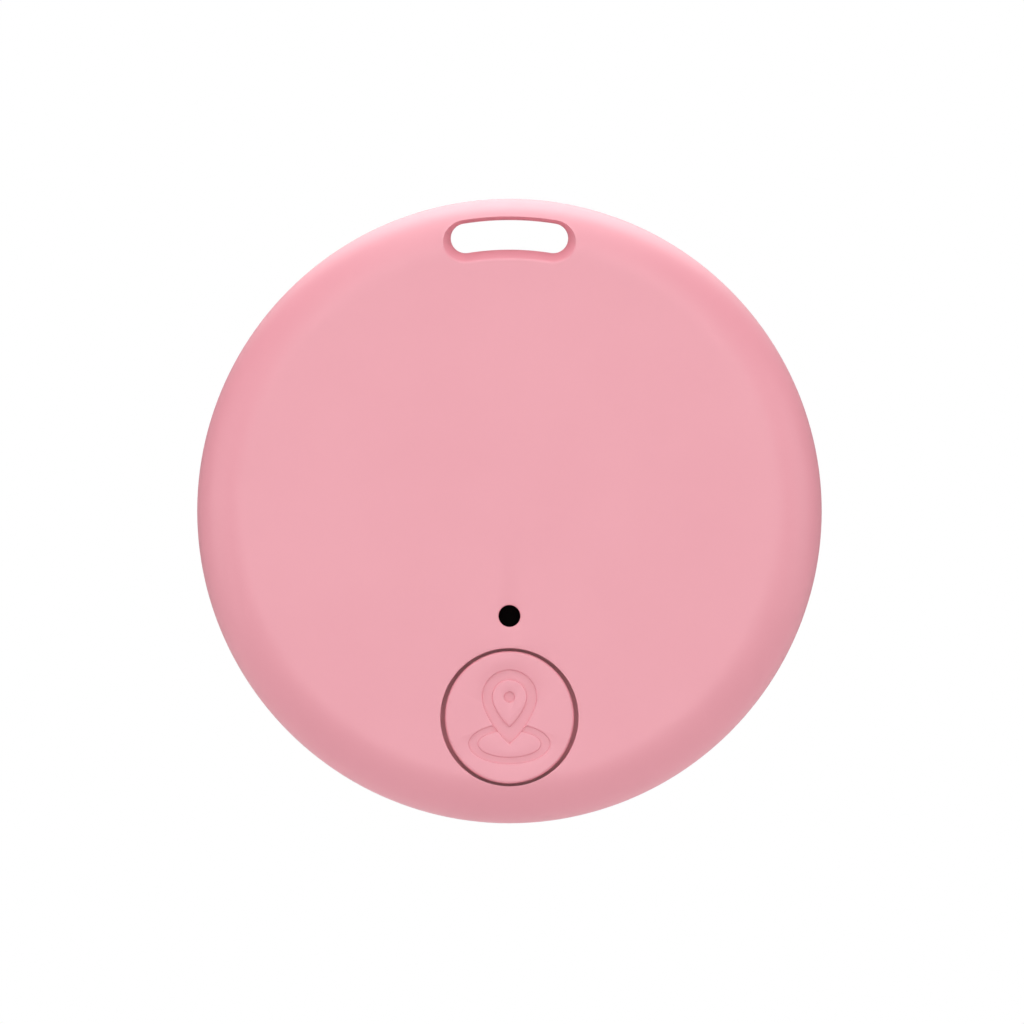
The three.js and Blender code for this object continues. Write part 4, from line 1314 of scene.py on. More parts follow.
# A groove's wall from the face down, as shares of the draft's width and of the depth.
DRAFT_STEPS = ((0.45, 0.1), (0.3, 0.3), (0.25, 0.6))


@dataclass(frozen=True)
class Pictogram:
    """A map pin that stands in a ring, as cutters for the cap's face."""

    axis: Axis
    face: float
    pin_head: float = 1.68
    island: float = 1.03
    eye: float = 0.34
    tip_ratio: float = 1.70
    pin_up: float = 1.23
    pin_depth: float = 0.15
    shoulder: float = -20.0
    side_reach: float = 0.85
    ring_length: float = 2.5
    ring_height: float = 1.24
    band_side: float = 0.6
    band_end: float = 0.45
    ring_down: float = 1.62
    ring_depth: float = 0.12
    draft: float = 0.085

    def pin(self, head: float) -> list[tuple[float, float]]:
        """The pin's outline: a round head whose sides draw in to a tip below it."""
        centre = self.axis.z + self.pin_up
        start, end = math.radians(self.shoulder), math.radians(180.0 - self.shoulder)
        arc = [start + (end - start) * step / 44 for step in range(45)]
        round_head = [(head * math.cos(t), centre + head * math.sin(t)) for t in arc]
        slope = start - math.pi / 2
        first, tip = round_head[0], (0.0, centre - self.tip_ratio * head)
        knee = (
            first[0] + self.side_reach * head * math.cos(slope),
            first[1] + self.side_reach * head * math.sin(slope),
        )
        side = []
        for step in range(1, 12):
            s = step / 12
            weights = ((1 - s) ** 2, 2 * s * (1 - s), s**2)
            side.append(
                tuple(sum(w * p[i] for w, p in zip(weights, (tip, knee, first))) for i in (0, 1))
            )
        left = [(-x, z) for x, z in reversed(side)]
        return [(self.axis.x + x, z) for x, z in [tip, *side, *round_head, *left]]

    def oval(self, centre: float, half_length: float, half_height: float, steps: int) -> Profile:
        """The outline of an ellipse.

        Args:
            centre: Where its centre lies on the z axis.
            half_length: Its half axis across.
            half_height: Its half axis upright.
            steps: Edges round it.
        """
        turns = [2.0 * math.pi * step / steps for step in range(steps)]
        return [
            (self.axis.x + half_length * math.cos(t), centre + half_height * math.sin(t))
            for t in turns
        ]

    def sunk(
        self, name: str, outline: Sequence[tuple[float, float]], depth: float
    ) -> Piece:
        """A cutter that sinks an outline, with drafted walls that are softened at their top.

        Args:
            name: The new object's name.
            outline: The outline on the face.
            depth: How deep it sinks.
        """
        piece = Bench.prism(name, outline, self.face, self.face + CLEAR / 2)
        floor = depth_at(self.face)
        Bench.pick(piece, lambda middle, normal: abs(middle.y - floor) < WELD and normal.y > 0.5)
        for across, down in DRAFT_STEPS:
            bpy.ops.mesh.inset(thickness=self.draft * across, depth=depth * down)
        Bench.lay_down()
        return piece

    def raised(
        self, name: str, outline: Sequence[tuple[float, float]], depth: float
    ) -> Piece:
        """A post that stays standing in a cutter's way, drafted the other way.

        Args:
            name: The new object's name.
            outline: The outline at its foot.
            depth: How deep its foot lies.
        """
        foot = self.face - depth
        piece = Bench.prism(name, outline, foot - CLEAR / 2, foot)
        level = depth_at(foot)
        Bench.pick(piece, lambda middle, normal: abs(middle.y - level) < WELD and normal.y < -0.5)
        for across, down in reversed(DRAFT_STEPS):
            bpy.ops.mesh.inset(thickness=self.draft * across, depth=depth * down)
        bpy.ops.mesh.inset(thickness=0.0001, depth=CLEAR)
        Bench.lay_down()
        return piece

    def cutters(self) -> list[Piece]:
        """The pin's groove, its eye, and the ring's groove, which stops at the pin."""
        soft = self.draft / 2
        pin_groove = Bench.cut(
            self.sunk("pin_groove", self.pin(self.pin_head + soft), self.pin_depth),
            self.raised("pin_island", self.pin(self.island + soft), self.pin_depth),
        )
        eye = self.oval(self.axis.z + self.pin_up, self.eye + soft, self.eye + soft, 32)
        ring = self.axis.z - self.ring_down
        outer = self.oval(ring, self.ring_length + soft, self.ring_height + soft, 96)
        half_length = self.ring_length - self.band_side + soft
        half_height = self.ring_height - self.band_end + soft
        ring_groove = Bench.cut(
            self.sunk("ring_groove", outer, self.ring_depth),
            self.raised(
                "ring_island", self.oval(ring, half_length, half_height, 96), self.ring_depth
            ),
            Bench.prism("pin_guard", self.pin(self.pin_head), self.face - CLEAR, self.face + CLEAR),
        )
        return [pin_groove, self.sunk("eye", eye, self.pin_depth), ring_groove]


@dataclass
class PushButton:
    """The round cap with its flange, its boss and the pictogram."""

    finish: Material
    node: str = "button_cap"
    radius: float = 4.03
    edge: float = 0.16
    top_wall: float = 0.6
    skirt_wall: float = 0.78
    flange_thickness: float = 0.28
    boss_radius: float = 0.6
    key_notch: float = 0.5
    key_reach: float = 4.75
    side_relief: float = 0.975

    def build(self) -> None:
        """Models the piece and puts it in the frame."""
        box, axis = Box.of(self.node), Axis.of(self.node)
        face, foot = box.top, box.bottom
        flange_foot = foot + SEAT
        flange_top = flange_foot + self.flange_thickness
        inner, ceiling = self.radius - self.skirt_wall, face - self.top_wall
        profile = [
            (0.0, foot),
            (self.boss_radius, foot),
            (self.boss_radius, ceiling),
            (inner, ceiling),
            (inner, flange_foot),
            (box.radius, flange_foot),
            (box.radius, flange_top),
            (self.radius, flange_top),
            *bend(self.radius - self.edge, face - self.edge, self.edge, self.edge, 0, 90, 10),
            (self.radius * 0.5, face),
            (0.0, face),
        ]
        piece = Bench.lathe("button", axis, profile, CASE_STEPS)
        shoulder = depth_at(flange_top)
        Bench.pick(piece, lambda middle, normal: middle.y < shoulder - WELD)
        squeeze = (self.side_relief, 1.0, 1.0)
        bpy.ops.transform.resize(value=squeeze, center_override=(axis.x, 0.0, axis.z))
        Bench.lay_down()
        notches = []
        for side in (-1.0, 1.0):
            key = Axis(axis.x + side * self.key_reach, axis.z)
            post = rod(self.key_notch, foot - CLEAR, flange_top + SEAT)
            notches.append(Bench.lathe("key_notch", key, post, SMALL_STEPS))
        Bench.cut(piece, *notches, *Pictogram(axis, face).cutters())
        dress(piece, self.finish)
        deliver(piece, "button", [self.node], 32.0)


# --- sound port and sounder


def round_piece(name: str, node: str, profile: Profile, finish: str) -> None:
    """Spins a profile about its node's own axis and delivers it.

    Args:
        name: The new object's name.
        node: The CAD node that it stands for.
        profile: Its (radius, height) points.
        finish: The name of its finish.
    """
    piece = Bench.lathe(name, Axis.of(node), profile)
    dress(piece, Paints.get(finish))
    deliver(piece, "case", [node])


def soft_disc(node: str, edge: float) -> Profile:
    """The profile of a disc with rounded edges that fills a round node's box."""
    box = Box.of(node)
    bottom, top, radius = box.bottom, box.top, box.radius
    return [
        (0.0, bottom),
        *bend(radius - edge, bottom + edge, edge, edge, -90, 0, 5),
        *bend(radius - edge, top - edge, edge, edge, 0, 90, 5),
        (0.0, top),
    ]


def soft_ring(node: str, width: float, edge: float) -> Profile:
    """The profile of a ring with rounded edges that fills a round node's box."""
    box = Box.of(node)
    bottom, top, outer = box.bottom, box.top, box.radius
    inner = outer - width
    return soft_tube(inner, outer, bottom, top, edge, 3)


@dataclass
class SoundPort:
    """The acoustic mesh behind the sound hole and the adhesive ring that holds it."""

    adhesive_width: float = 0.2

    def build(self) -> None:
        """Models the pieces and puts them in the frame."""
        disc = soft_disc("sound_mesh", 0.02)
        # The mesh's finish is partly its own black and partly painted shade, so that the hole in
        # front of it looks deep and dark.
        round_piece("acoustic_mesh", "sound_mesh", disc, "black_mesh")
        ring = soft_ring("mesh_adhesive", self.adhesive_width, 0.015)
        round_piece("mesh_tape", "mesh_adhesive", ring, "clear_adhesive")


@dataclass
class Sounder:
    """The piezo sounder: brass plate, silvered ceramic, glue ring and two leads."""

    adhesive_width: float = 0.4
    silver_margin: float = 0.35
    lead_radius: float = 0.11
    lead_steps: int = 14
    bare_end: float = 0.7

    def lead(self, node: str, finish: str, bare: float) -> None:
        """A sleeved lead with bare soldered ends.

        Args:
            node: The CAD node that it stands for.
            finish: Finish of the sleeve.
            bare: Length of each bare end.
        """
        box = Box.of(node)
        z, radius = box.centre.z, self.lead_radius
        start = Vector((box.low.x, box.low.y + radius, z))
        end = Vector((box.high.x, box.high.y - radius, z))
        points = []
        for step in range(self.lead_steps + 1):
            share = step / self.lead_steps
            ease = share * share * (3.0 - 2.0 * share)
            across = start.x + (end.x - start.x) * share
            depth = start.y + (end.y - start.y) * (0.4 * share + 0.6 * ease)
            points.append(Vector((across, depth, z)))
        Bench.lay_down()
        bpy.ops.curve.primitive_nurbs_path_add(location=(0.0, 0.0, 0.0))
        path = bpy.context.active_object
        path.name = node.replace("buzzer_lead", "sounder_lead")
        path.data.splines.clear()
        spline = path.data.splines.new("POLY")
        spline.points.add(len(points) - 1)
        for target, point in zip(spline.points, points):
            target.co = (*point, 1.0)
        path.data.dimensions = "3D"
        path.data.bevel_depth = radius * 0.98
        path.data.bevel_resolution = 4
        path.data.use_fill_caps = True
        bpy.ops.object.convert(target="MESH")
        piece = bpy.context.active_object
        Bench.open(piece)
        Bench.close(piece)
        dress(piece, Paints.get(finish))
        low, high = box.low.x + bare, box.high.x - bare
        Bench.paint(piece, Paints.get("tin"), lambda middle, _: not low < middle.x < high)
        deliver(piece, "case", [node])

    def build(self) -> None:
        """Models the pieces and puts them in the frame."""
        round_piece("sounder_plate", "buzzer_plate", soft_disc("buzzer_plate", 0.04), "brass")
        glue = soft_ring("buzzer_adhesive", self.adhesive_width, 0.02)
        round_piece("sounder_glue", "buzzer_adhesive", glue, "clear_adhesive")
        node = "buzzer_ceramic"
        box = Box.of(node)
        bottom, top, radius = box.bottom, box.top, box.radius
        silver = radius - self.silver_margin
        profile = [
            (0.0, bottom),
            (silver, bottom),
            (silver + 0.02, bottom + 0.015),
            (radius - 0.02, bottom + 0.015),
            (radius, bottom + 0.03),
            (radius, top),
            (0.0, top),
        ]
        piece = Bench.lathe("sounder_ceramic", Axis.of(node), profile)
        dress(piece, Paints.get("piezo_ceramic"))
        axis, rear = Axis.of(node), box.high.y
        Bench.paint(
            piece,
            Paints.get("silvering"),
            lambda middle, normal: normal.y > 0.9
            and math.hypot(middle.x - axis.x, middle.z - axis.z) < silver
            and abs(middle.y - rear) < 0.01,
        )
        deliver(piece, "case", [node])
        self.lead("buzzer_lead_plate", "black_sleeve", self.bare_end)
        self.lead("buzzer_lead_ceramic", "red_sleeve", self.bare_end)


# --- coin cell


@dataclass
class CoinCell:
    """The coin cell with its six pieces, and the foam pad behind it."""

    sheet: float = 0.25
    edge: float = 0.5
    fit: float = 0.05
    gasket_wall: float = 0.2

    def __post_init__(self) -> None:
        """Reads the cell's levels from the frame."""
        can, cap = Box.of("cell_can"), Box.of("cell_cap")
        self.radius, self.bottom = can.radius, can.bottom
        self.lip_top, self.top = can.top, cap.top
        self.cap_radius, self.gasket_bottom = cap.radius, cap.bottom
        self.lip_outer = self.cap_radius + self.fit + self.gasket_wall

    def can(self) -> Profile:
        """The positive can, its lip crimped inwards."""
        edge, wall = self.edge, self.radius - self.sheet
        relief, lip_inner = edge / 2, self.lip_outer + self.fit
        lip_bottom = self.lip_top - self.sheet
        return [
            (0.0, self.bottom),
            *bend(self.radius - edge, self.bottom + edge, edge, edge, -90, 0, 8),
            *bend(self.radius - edge, self.lip_top - edge, edge, edge, 0, 90, 8),
            *bend(lip_inner + 0.08, self.lip_top - 0.08, 0.08, 0.08, 90, 180, 4),
            (lip_inner, lip_bottom),
            *bend(wall - relief, lip_bottom - relief, relief, relief, 90, 0, 5),
            *bend(wall - relief, self.bottom + self.sheet + relief, relief, relief, 0, -90, 5),
            (0.0, self.bottom + self.sheet),
        ]

    def cap(self) -> Profile:
        """The negative cap, a dish turned over."""
        inside, ceiling = self.cap_radius - self.sheet, self.top - self.sheet
        relief, edge = self.edge / 2, self.edge
        return [
            (0.0, ceiling),
            *bend(inside - relief, ceiling - relief, relief, relief, 90, 0, 5),
            (inside, self.gasket_bottom),
            (self.cap_radius, self.gasket_bottom),
            *bend(self.cap_radius - edge, self.top - edge, edge, edge, 0, 90, 8),
            (0.0, self.top),
        ]

    def gasket(self) -> Profile:
        """The gasket between them, standing up as a thin lip."""
        box = Box.of("cell_gasket")
        inner, outer = self.cap_radius + self.fit, box.radius
        bottom, top = box.bottom, box.top
        shoulder = self.lip_top - self.sheet - self.edge / 2 - self.fit
        half, rise = self.gasket_wall / 2, 0.06
        lip_round = bend(inner + half, top - rise, half, rise, 0, 180, 8)
        return [
            (inner, bottom),
            (outer, bottom),
            (outer, shoulder),
            (self.lip_outer, shoulder),
            *lip_round,
            (inner, bottom),
        ]

    def pad(self) -> None:
        """The foam pad, slightly crowned, that presses the cell on its contacts."""
        node = "cell_pad"
        box = Box.of(node)
        bottom, top, radius = box.bottom, box.top, box.radius
        edge = (top - bottom) / 2
        side = bend(radius - edge * 0.6, bottom + edge, edge * 0.6, edge, -90, 90, 10)
        crown = [(radius * share, top - 0.02 * share**4) for share in (0.9, 0.7, 0.45, 0.2)]
        profile = [(0.0, bottom), *side[:-1], (radius * 0.965, top - 0.03), *crown, (0.0, top)]
        piece = Bench.lathe("foam_pad", Axis.of(node), profile)
        dress(piece, Paints.get("black_foam"))
        deliver(piece, "cover", [node], 60.0)

    def build(self) -> None:
        """Models the pieces and puts them in the frame."""
        rows = (
            ("cell_shell", "cell_can", self.can(), "cell_steel"),
            ("cell_lid", "cell_cap", self.cap(), "cell_steel"),
            ("cell_seal", "cell_gasket", self.gasket(), "nylon_gasket"),
        )
        for name, node, profile, finish in rows:
            round_piece(name, node, profile, finish)
        fillings = (
            ("cathode_pellet", "cell_cathode", 0.08, "manganese_oxide"),
            ("separator_disc", "cell_separator", 0.03, "separator_fleece"),
            ("anode_disc", "cell_anode", 0.06, "lithium"),
        )
        for name, node, edge, finish in fillings:
            round_piece(name, node, soft_disc(node, edge), finish)
        self.pad()


# --- tray and contacts


@dataclass
class CellHolder:
    """The tray ring round the cell and the three springs that bear on it."""

    case: Axis
    wall: float = 0.85
    clearance: float = 0.15
    ring_edge: float = 0.1
    hoop: float = 0.8
    window_clearance: float = 0.5
    peg_angles: tuple[float, ...] = (45.0, 135.0, 225.0, 315.0)
    peg_offset: float = 0.6
    peg_radius: float = 0.45
    ear_radius: float = 0.8
    ear_thickness: float = 1.0
    sheet: float = 0.12
    width: float = 3.4
    foot_reach: float = 1.7
    leaf: float = 9.0

    def __post_init__(self) -> None:
        """Reads the tray's and the cell's levels from the frame."""
        tray, board = Box.of("cell_tray"), Box.of("circuit_board")
        self.cell_radius = Box.of("cell_can").radius
        self.inner = self.cell_radius + self.clearance
        self.outer = self.inner + self.wall
        self.bottom = tray.bottom
        self.seat = board.bottom - SEAT
        self.board_top = board.top

    def tray(self) -> None:
        """The ring with its two windows, its ears and its pegs."""
        profile = soft_tube(self.inner, self.outer, self.bottom, self.seat, self.ring_edge, 4)
        ring = Bench.lathe("cell_ring", self.case, profile, CASE_STEPS)
        window = self.width + 2 * self.window_clearance
        low = self.bottom + self.hoop
        high = self.seat + CLEAR
        middle = (self.case.x, depth_at((low + high) / 2), self.case.z)
        Bench.cut(ring, Bench.block("window", middle, (window, high - low, 3 * self.outer), 0.15))
        for angle in self.peg_angles:
            axis = self.case.off(self.outer + self.peg_offset, angle)
            foot = self.seat - self.ear_thickness
            ear = [
                (0.0, foot),
                *bend(self.ear_radius - 0.08, foot + 0.08, 0.08, 0.08, -90, 0, 4),
                (self.ear_radius, self.seat),
                (0.0, self.seat),
            ]
            top = self.board_top - SEAT
            peg = [
                (0.0, foot + self.ear_thickness / 2),
                (self.peg_radius, foot + self.ear_thickness / 2),
                (self.peg_radius, top - 0.1),
                (self.peg_radius - 0.1, top),
                (0.0, top),
            ]
            Bench.add(
                ring,
                Bench.lathe("ear", axis, ear, SMALL_STEPS),
                Bench.lathe("peg", axis, peg, SMALL_STEPS),
            )
        dress(ring, Paints.get("tray_plastic"))
        deliver(ring, "case", ["cell_tray"])

    def strip(self, name: str, path: Profile, curve: float) -> Piece:
        """Sheet metal along a path of (across, height) points on its middle plane.

        Args:
            name: The new object's name.
            path: The path.
            curve: How far each bend reaches along the sheet.
        """
        half = self.width / 2
        piece = Bench.chain(name, [Vector((r, depth_at(h), -half)) for r, h in path])
        bpy.ops.mesh.select_all(action="SELECT")
        bpy.ops.mesh.extrude_region_move(TRANSFORM_OT_translate={"value": (0.0, 0.0, self.width)})
        Bench.open(piece, everything=False)
        bpy.ops.mesh.select_mode(type="EDGE")
        mesh = bmesh.from_edit_mesh(piece.data)
        for edge in mesh.edges:
            edge.select = len(edge.link_faces) == 2
        bmesh.update_edit_mesh(piece.data)
        bpy.ops.mesh.bevel(offset=curve, segments=4, affect="EDGES")
        bpy.ops.mesh.select_all(action="SELECT")
        bpy.ops.mesh.normals_make_consistent(inside=False)
        return Bench.thicken(piece, self.sheet, 0.025)

    def positive(self, node: str, angle: float) -> None:
        """A side spring: foot on the board, leaf on the can."""
        half = self.sheet / 2
        foot = self.seat - half
        touch = self.cell_radius + SEAT + half
        hoop = self.bottom + self.hoop
        middle = (self.seat + hoop) / 2
        path = [
            (self.outer + self.foot_reach, foot),
            (self.outer - half, foot),
            (touch + self.sheet, middle + 3 * self.sheet),
            (touch, middle),
            (touch + 3 * self.sheet, hoop + 2 * self.sheet),
        ]
        piece = self.strip(node.replace("positive_contact", "side_spring"), path, 0.12)
        Bench.move(piece, Vector((self.case.x, 0.0, self.case.z)), angle)
        dress(piece, Paints.get("gold_plate"))
        deliver(piece, "case", [node])

    def negative(self) -> None:
        """The middle spring: a leaf from the board to the cell's cap."""
        box = Box.of("negative_contact")
        half = self.sheet / 2
        foot = box.top - half
        touch = Box.of("cell_cap").top + SEAT + half
        left = box.low.x - self.case.x
        path = [
            (left, foot),
            (left + self.leaf * 0.25, foot),
            (left + self.leaf * 0.7, touch),
            (left + self.leaf * 0.85, touch),
            (box.high.x - self.case.x - 0.03, (foot + touch) / 2),
        ]
        piece = self.strip("middle_spring", path, 0.3)
        Bench.move(piece, Vector((self.case.x, 0.0, self.case.z)))
        dress(piece, Paints.get("spring_steel"))
        deliver(piece, "case", ["negative_contact"])

    def build(self) -> None:
        """Models the pieces and puts them in the frame."""
        self.tray()
        self.positive("positive_contact_upper", 90.0)
        self.positive("positive_contact_lower", 270.0)
        self.negative()


# --- board and its parts


@dataclass
class BoardPart:
    """A part soldered on the rear of the board: modelled at the origin, then turned into place."""

    node: str
    name: str
    angle: float
    across: float
    along: float
    slot: str

    def __post_init__(self) -> None:
        """Reads the part's place from the frame."""
        box = Box.of(self.node)
        self.middle = box.centre
        self.seat, self.back = box.low.y, box.high.y
        self.height = self.back - self.seat

    def body(
        self, edge: float, shrink: float = 0.0, low: float = 0.0, high: float = 1.0
    ) -> Piece:
        """A rounded block of the part's size, or between two shares of its height.

        Args:
            edge: Radius of its edges.
            shrink: How much smaller its sides are, all round.
            low: Share of the height where it starts, from the board.
            high: Share of the height where it ends.
        """
        depth = self.seat + self.height * (low + high) / 2
        size = (
            self.across - 2 * shrink,
            self.height * (high - low),
            self.along - 2 * shrink,
        )
        return Bench.block(self.name, (0.0, depth, 0.0), size, edge)

    def shape(self) -> Piece:
        """Models the part at the origin, dressed."""
        raise NotImplementedError

    def build(self) -> None:
        """Models the part and puts it in the frame."""
        piece = self.shape()
        piece.name = self.name
        Bench.move(piece, Vector((self.middle.x, 0.0, self.middle.z)), self.angle)
        deliver(piece, "case", [self.node])


@dataclass
class EndCapped(BoardPart):
    """A resistor, capacitor, small inductor or antenna: a body with a metal cap on both ends."""

    finish: str = "capacitor_ceramic"
    cap: float = 0.3
    proud: float = 0.02
    film: bool = False

    def shape(self) -> Piece:
        """Models the part at the origin, dressed."""
        lengthways_x = self.across > self.along
        piece = self.body(0.05 * min(self.across, self.along, self.height) + 0.01, self.proud)
        half = max(self.across, self.along) / 2 - self.cap
        caps = []
        for side in (-1.0, 1.0):
            reach = max(self.across, self.along) / 2
            centre = side * (half + reach) / 2
            size = [self.across, self.height, self.along]
            size[0 if lengthways_x else 2] = reach - half
            depth = self.seat + self.height / 2
            place = (centre, depth, 0.0) if lengthways_x else (0.0, depth, centre)
            caps.append(Bench.block("cap", place, tuple(size), 0.06 * min(size) + 0.012))
        dress(piece, Paints.get(self.finish))
        for cap in caps:
            dress(cap, Paints.get("tin"))
        extras = []
        if self.film:
            size = (self.across * 0.9, 0.02, 2 * half * 0.98)
            if lengthways_x:
                size = (2 * half * 0.98, 0.02, self.along * 0.9)
            film = Bench.block("film", (0.0, self.back - 0.01, 0.0), size, 0.008)
            dress(film, Paints.get("black_resin"))
            extras.append(film)
        return Bench.gather([piece, *caps, *extras])


@dataclass
class ChipAntenna(EndCapped):
    """The antenna: a white block with a folded line on its back."""

    turns: int = 7
    line: float = 0.16

    def shape(self) -> Piece:
        """Models the part at the origin, dressed."""
        piece = super().shape()
        span = self.along - 2 * self.cap - 0.6
        pitch = span / self.turns
        bars = []
        for count in range(self.turns + 1):
            place = (0.0, self.back - 0.012, -span / 2 + count * pitch)
            bars.append(Bench.block("bar", place, (self.across * 0.72, 0.02, self.line), 0.008))
        for count in range(self.turns):
            side = 1.0 if count % 2 else -1.0
            across = side * (self.across * 0.36 - self.line / 2)
            place = (across, self.back - 0.012, -span / 2 + (count + 0.5) * pitch)
            bars.append(Bench.block("bar", place, (self.line, 0.02, pitch), 0.008))
        for bar in bars:
            dress(bar, Paints.get("silvering"))
        return Bench.gather([piece, *bars])


@dataclass
class LeadlessChip(BoardPart):
    """A square chip with contact lands along its four sides and a mark for its first land."""

    lands: int = 8
    land: float = 0.24

    def shape(self) -> Piece:
        """Models the part at the origin, dressed."""
        piece = self.body(0.07)
        mark = [(0.0, 0.0), (0.17, 0.0), (0.2, 0.05), (0.2, 1.0), (0.0, 1.0)]
        corner = self.across / 2 - 0.55
        points = [Vector((-corner + r, self.back - 0.05 + h, corner)) for r, h in mark]
        Bench.cut(piece, Bench.turn("dimple", points, Axis(-corner, corner), 24))
        dress(piece, Paints.get("black_resin"))
        pitch = (self.across - 0.9) / (self.lands - 1)
        lands = []
        for side in range(4):
            for count in range(self.lands):
                shift = (count - (self.lands - 1) / 2) * pitch
                land = Bench.block(
                    "land",
                    (self.across / 2 - 0.14, self.seat + 0.1, shift),
                    (0.32, 0.2, self.land),
                    0.015,
                )
                dress(land, Paints.get("gold_plate"))
                lands.append(Bench.move(land, Vector((0.0, 0.0, 0.0)), 90.0 * side))
        return Bench.gather([piece, *lands])


@dataclass
class CrystalCan(BoardPart):
    """A crystal: a ceramic foot with a drawn metal lid seamed on it."""

    def shape(self) -> Piece:
        """Models the part at the origin, dressed."""
        foot = self.body(0.06, 0.0, 0.0, 0.42)
        seam = self.body(0.03, 0.08, 0.42, 0.55)
        lid = self.body(0.11, 0.16, 0.5, 1.0)
        layers = ((foot, "antenna_ceramic"), (seam, "gold_plate"), (lid, "crystal_can"))
        for piece, finish in layers:
            dress(piece, Paints.get(finish))
        return Bench.gather([lid, seam, foot])


@dataclass
class PowerInductor(BoardPart):
    """A shielded inductor: a square ferrite sleeve round a drum, on two terminals."""

    drum: float = 1.12

    def shape(self) -> Piece:
        """Models the part at the origin, dressed."""
        piece = self.body(0.18, 0.0, 0.08, 1.0)
        groove = [
            (self.drum, -0.12),
            (self.drum + 0.12, -0.12),
            (self.drum + 0.14, 0.5),
            (self.drum, 0.5),
            (self.drum, -0.12),
        ]
        points = [Vector((r, self.back + h, 0.0)) for r, h in groove]
        Bench.cut(piece, Bench.turn("groove", points, Axis(0.0, 0.0), 64))
        dress(piece, Paints.get("ferrite"))
        feet = []
        for side in (-1.0, 1.0):
            place = (side * (self.across / 2 - 0.42), self.seat + 0.09, 0.0)
            foot = Bench.block("foot", place, (0.84, 0.18, self.along * 0.72), 0.03)
            dress(foot, Paints.get("tin"))
            feet.append(foot)
        return Bench.gather([piece, *feet])


@dataclass
class TantalumCapacitor(BoardPart):
    """A moulded capacitor with folded end terminals and a polarity stripe."""

    stripe: float = 0.5

    def shape(self) -> Piece:
        """Models the part at the origin, dressed."""
        piece = self.body(0.08, 0.03, 0.03, 1.0)
        dress(piece, Paints.get("tantalum_resin"))
        reach = self.along / 2
        Bench.open(piece)
        edge_at = reach - 0.25 - self.stripe
        for place in (reach - 0.25, edge_at):
            bpy.ops.mesh.select_all(action="SELECT")
            bpy.ops.mesh.bisect(plane_co=(0.0, 0.0, place), plane_no=(0.0, 0.0, 1.0))
        Bench.paint(
            piece,
            Paints.get("stripe_ink"),
            lambda middle, normal: edge_at < middle.z < reach - 0.25 and normal.y > 0.5,
        )
        ends = []
        for side in (-1.0, 1.0):
            upright = (0.0, self.seat + self.height * 0.25, side * (reach - 0.03))
            folded = (0.0, self.seat + 0.03, side * (reach - 0.35))
            for size, place in (
                ((self.across * 0.62, self.height * 0.5, 0.06), upright),
                ((self.across * 0.62, 0.06, 0.7), folded),
            ):
                end = Bench.block("terminal", place, size, 0.02)
                dress(end, Paints.get("tin"))
                ends.append(end)
        return Bench.gather([piece, *ends])


@dataclass
class DriveTransistor(BoardPart):
    """A small moulded transistor on three bent legs."""

    reach: float = 0.6
    leg: float = 0.4
    sheet: float = 0.12
    spacing: float = 0.95

    def __post_init__(self) -> None:
        """Puts the body on its own ray from the case's axis, as its legs aren't even round it."""
        super().__post_init__()
        case = Axis.of("front_shell")
        self.middle.z = case.z + (self.middle.x - case.x) * math.tan(math.radians(self.angle))

    def leg_at(self, side: float, along: float) -> Piece:
        """One bent leg.

        Args:
            side: 1 towards the rim, -1 towards the cell.
            along: Its place along the body.
        """
        half = self.across / 2
        foot, knee = self.seat + self.sheet / 2, self.seat + self.height * 0.45
        path = [
            (side * (half - 0.1), knee),
            (side * (half + 0.16), knee),
            (side * (half + 0.3), foot),
            (side * (half + self.reach), foot),
        ]
        piece = Bench.chain("leg", [Vector((x, y, along - self.leg / 2)) for x, y in path])
        bpy.ops.mesh.select_all(action="SELECT")
        bpy.ops.mesh.extrude_region_move(TRANSFORM_OT_translate={"value": (0.0, 0.0, self.leg)})
        Bench.thicken(piece, self.sheet, 0.03)
        dress(piece, Paints.get("tin"))
        return piece

    def shape(self) -> Piece:
        """Models the part at the origin, dressed."""
        upper = self.body(0.05, 0.0, 0.1, 1.0)
        Bench.pick(upper, lambda middle, normal: normal.y > 0.9)
        bpy.ops.transform.resize(value=(0.9, 1.0, 0.95))
        Bench.lay_down()
        dress(upper, Paints.get("black_resin"))
        spots = ((-1.0, -self.spacing), (-1.0, self.spacing), (1.0, 0.0))
        legs = [self.leg_at(side, along) for side, along in spots]
        return Bench.gather([upper, *legs])


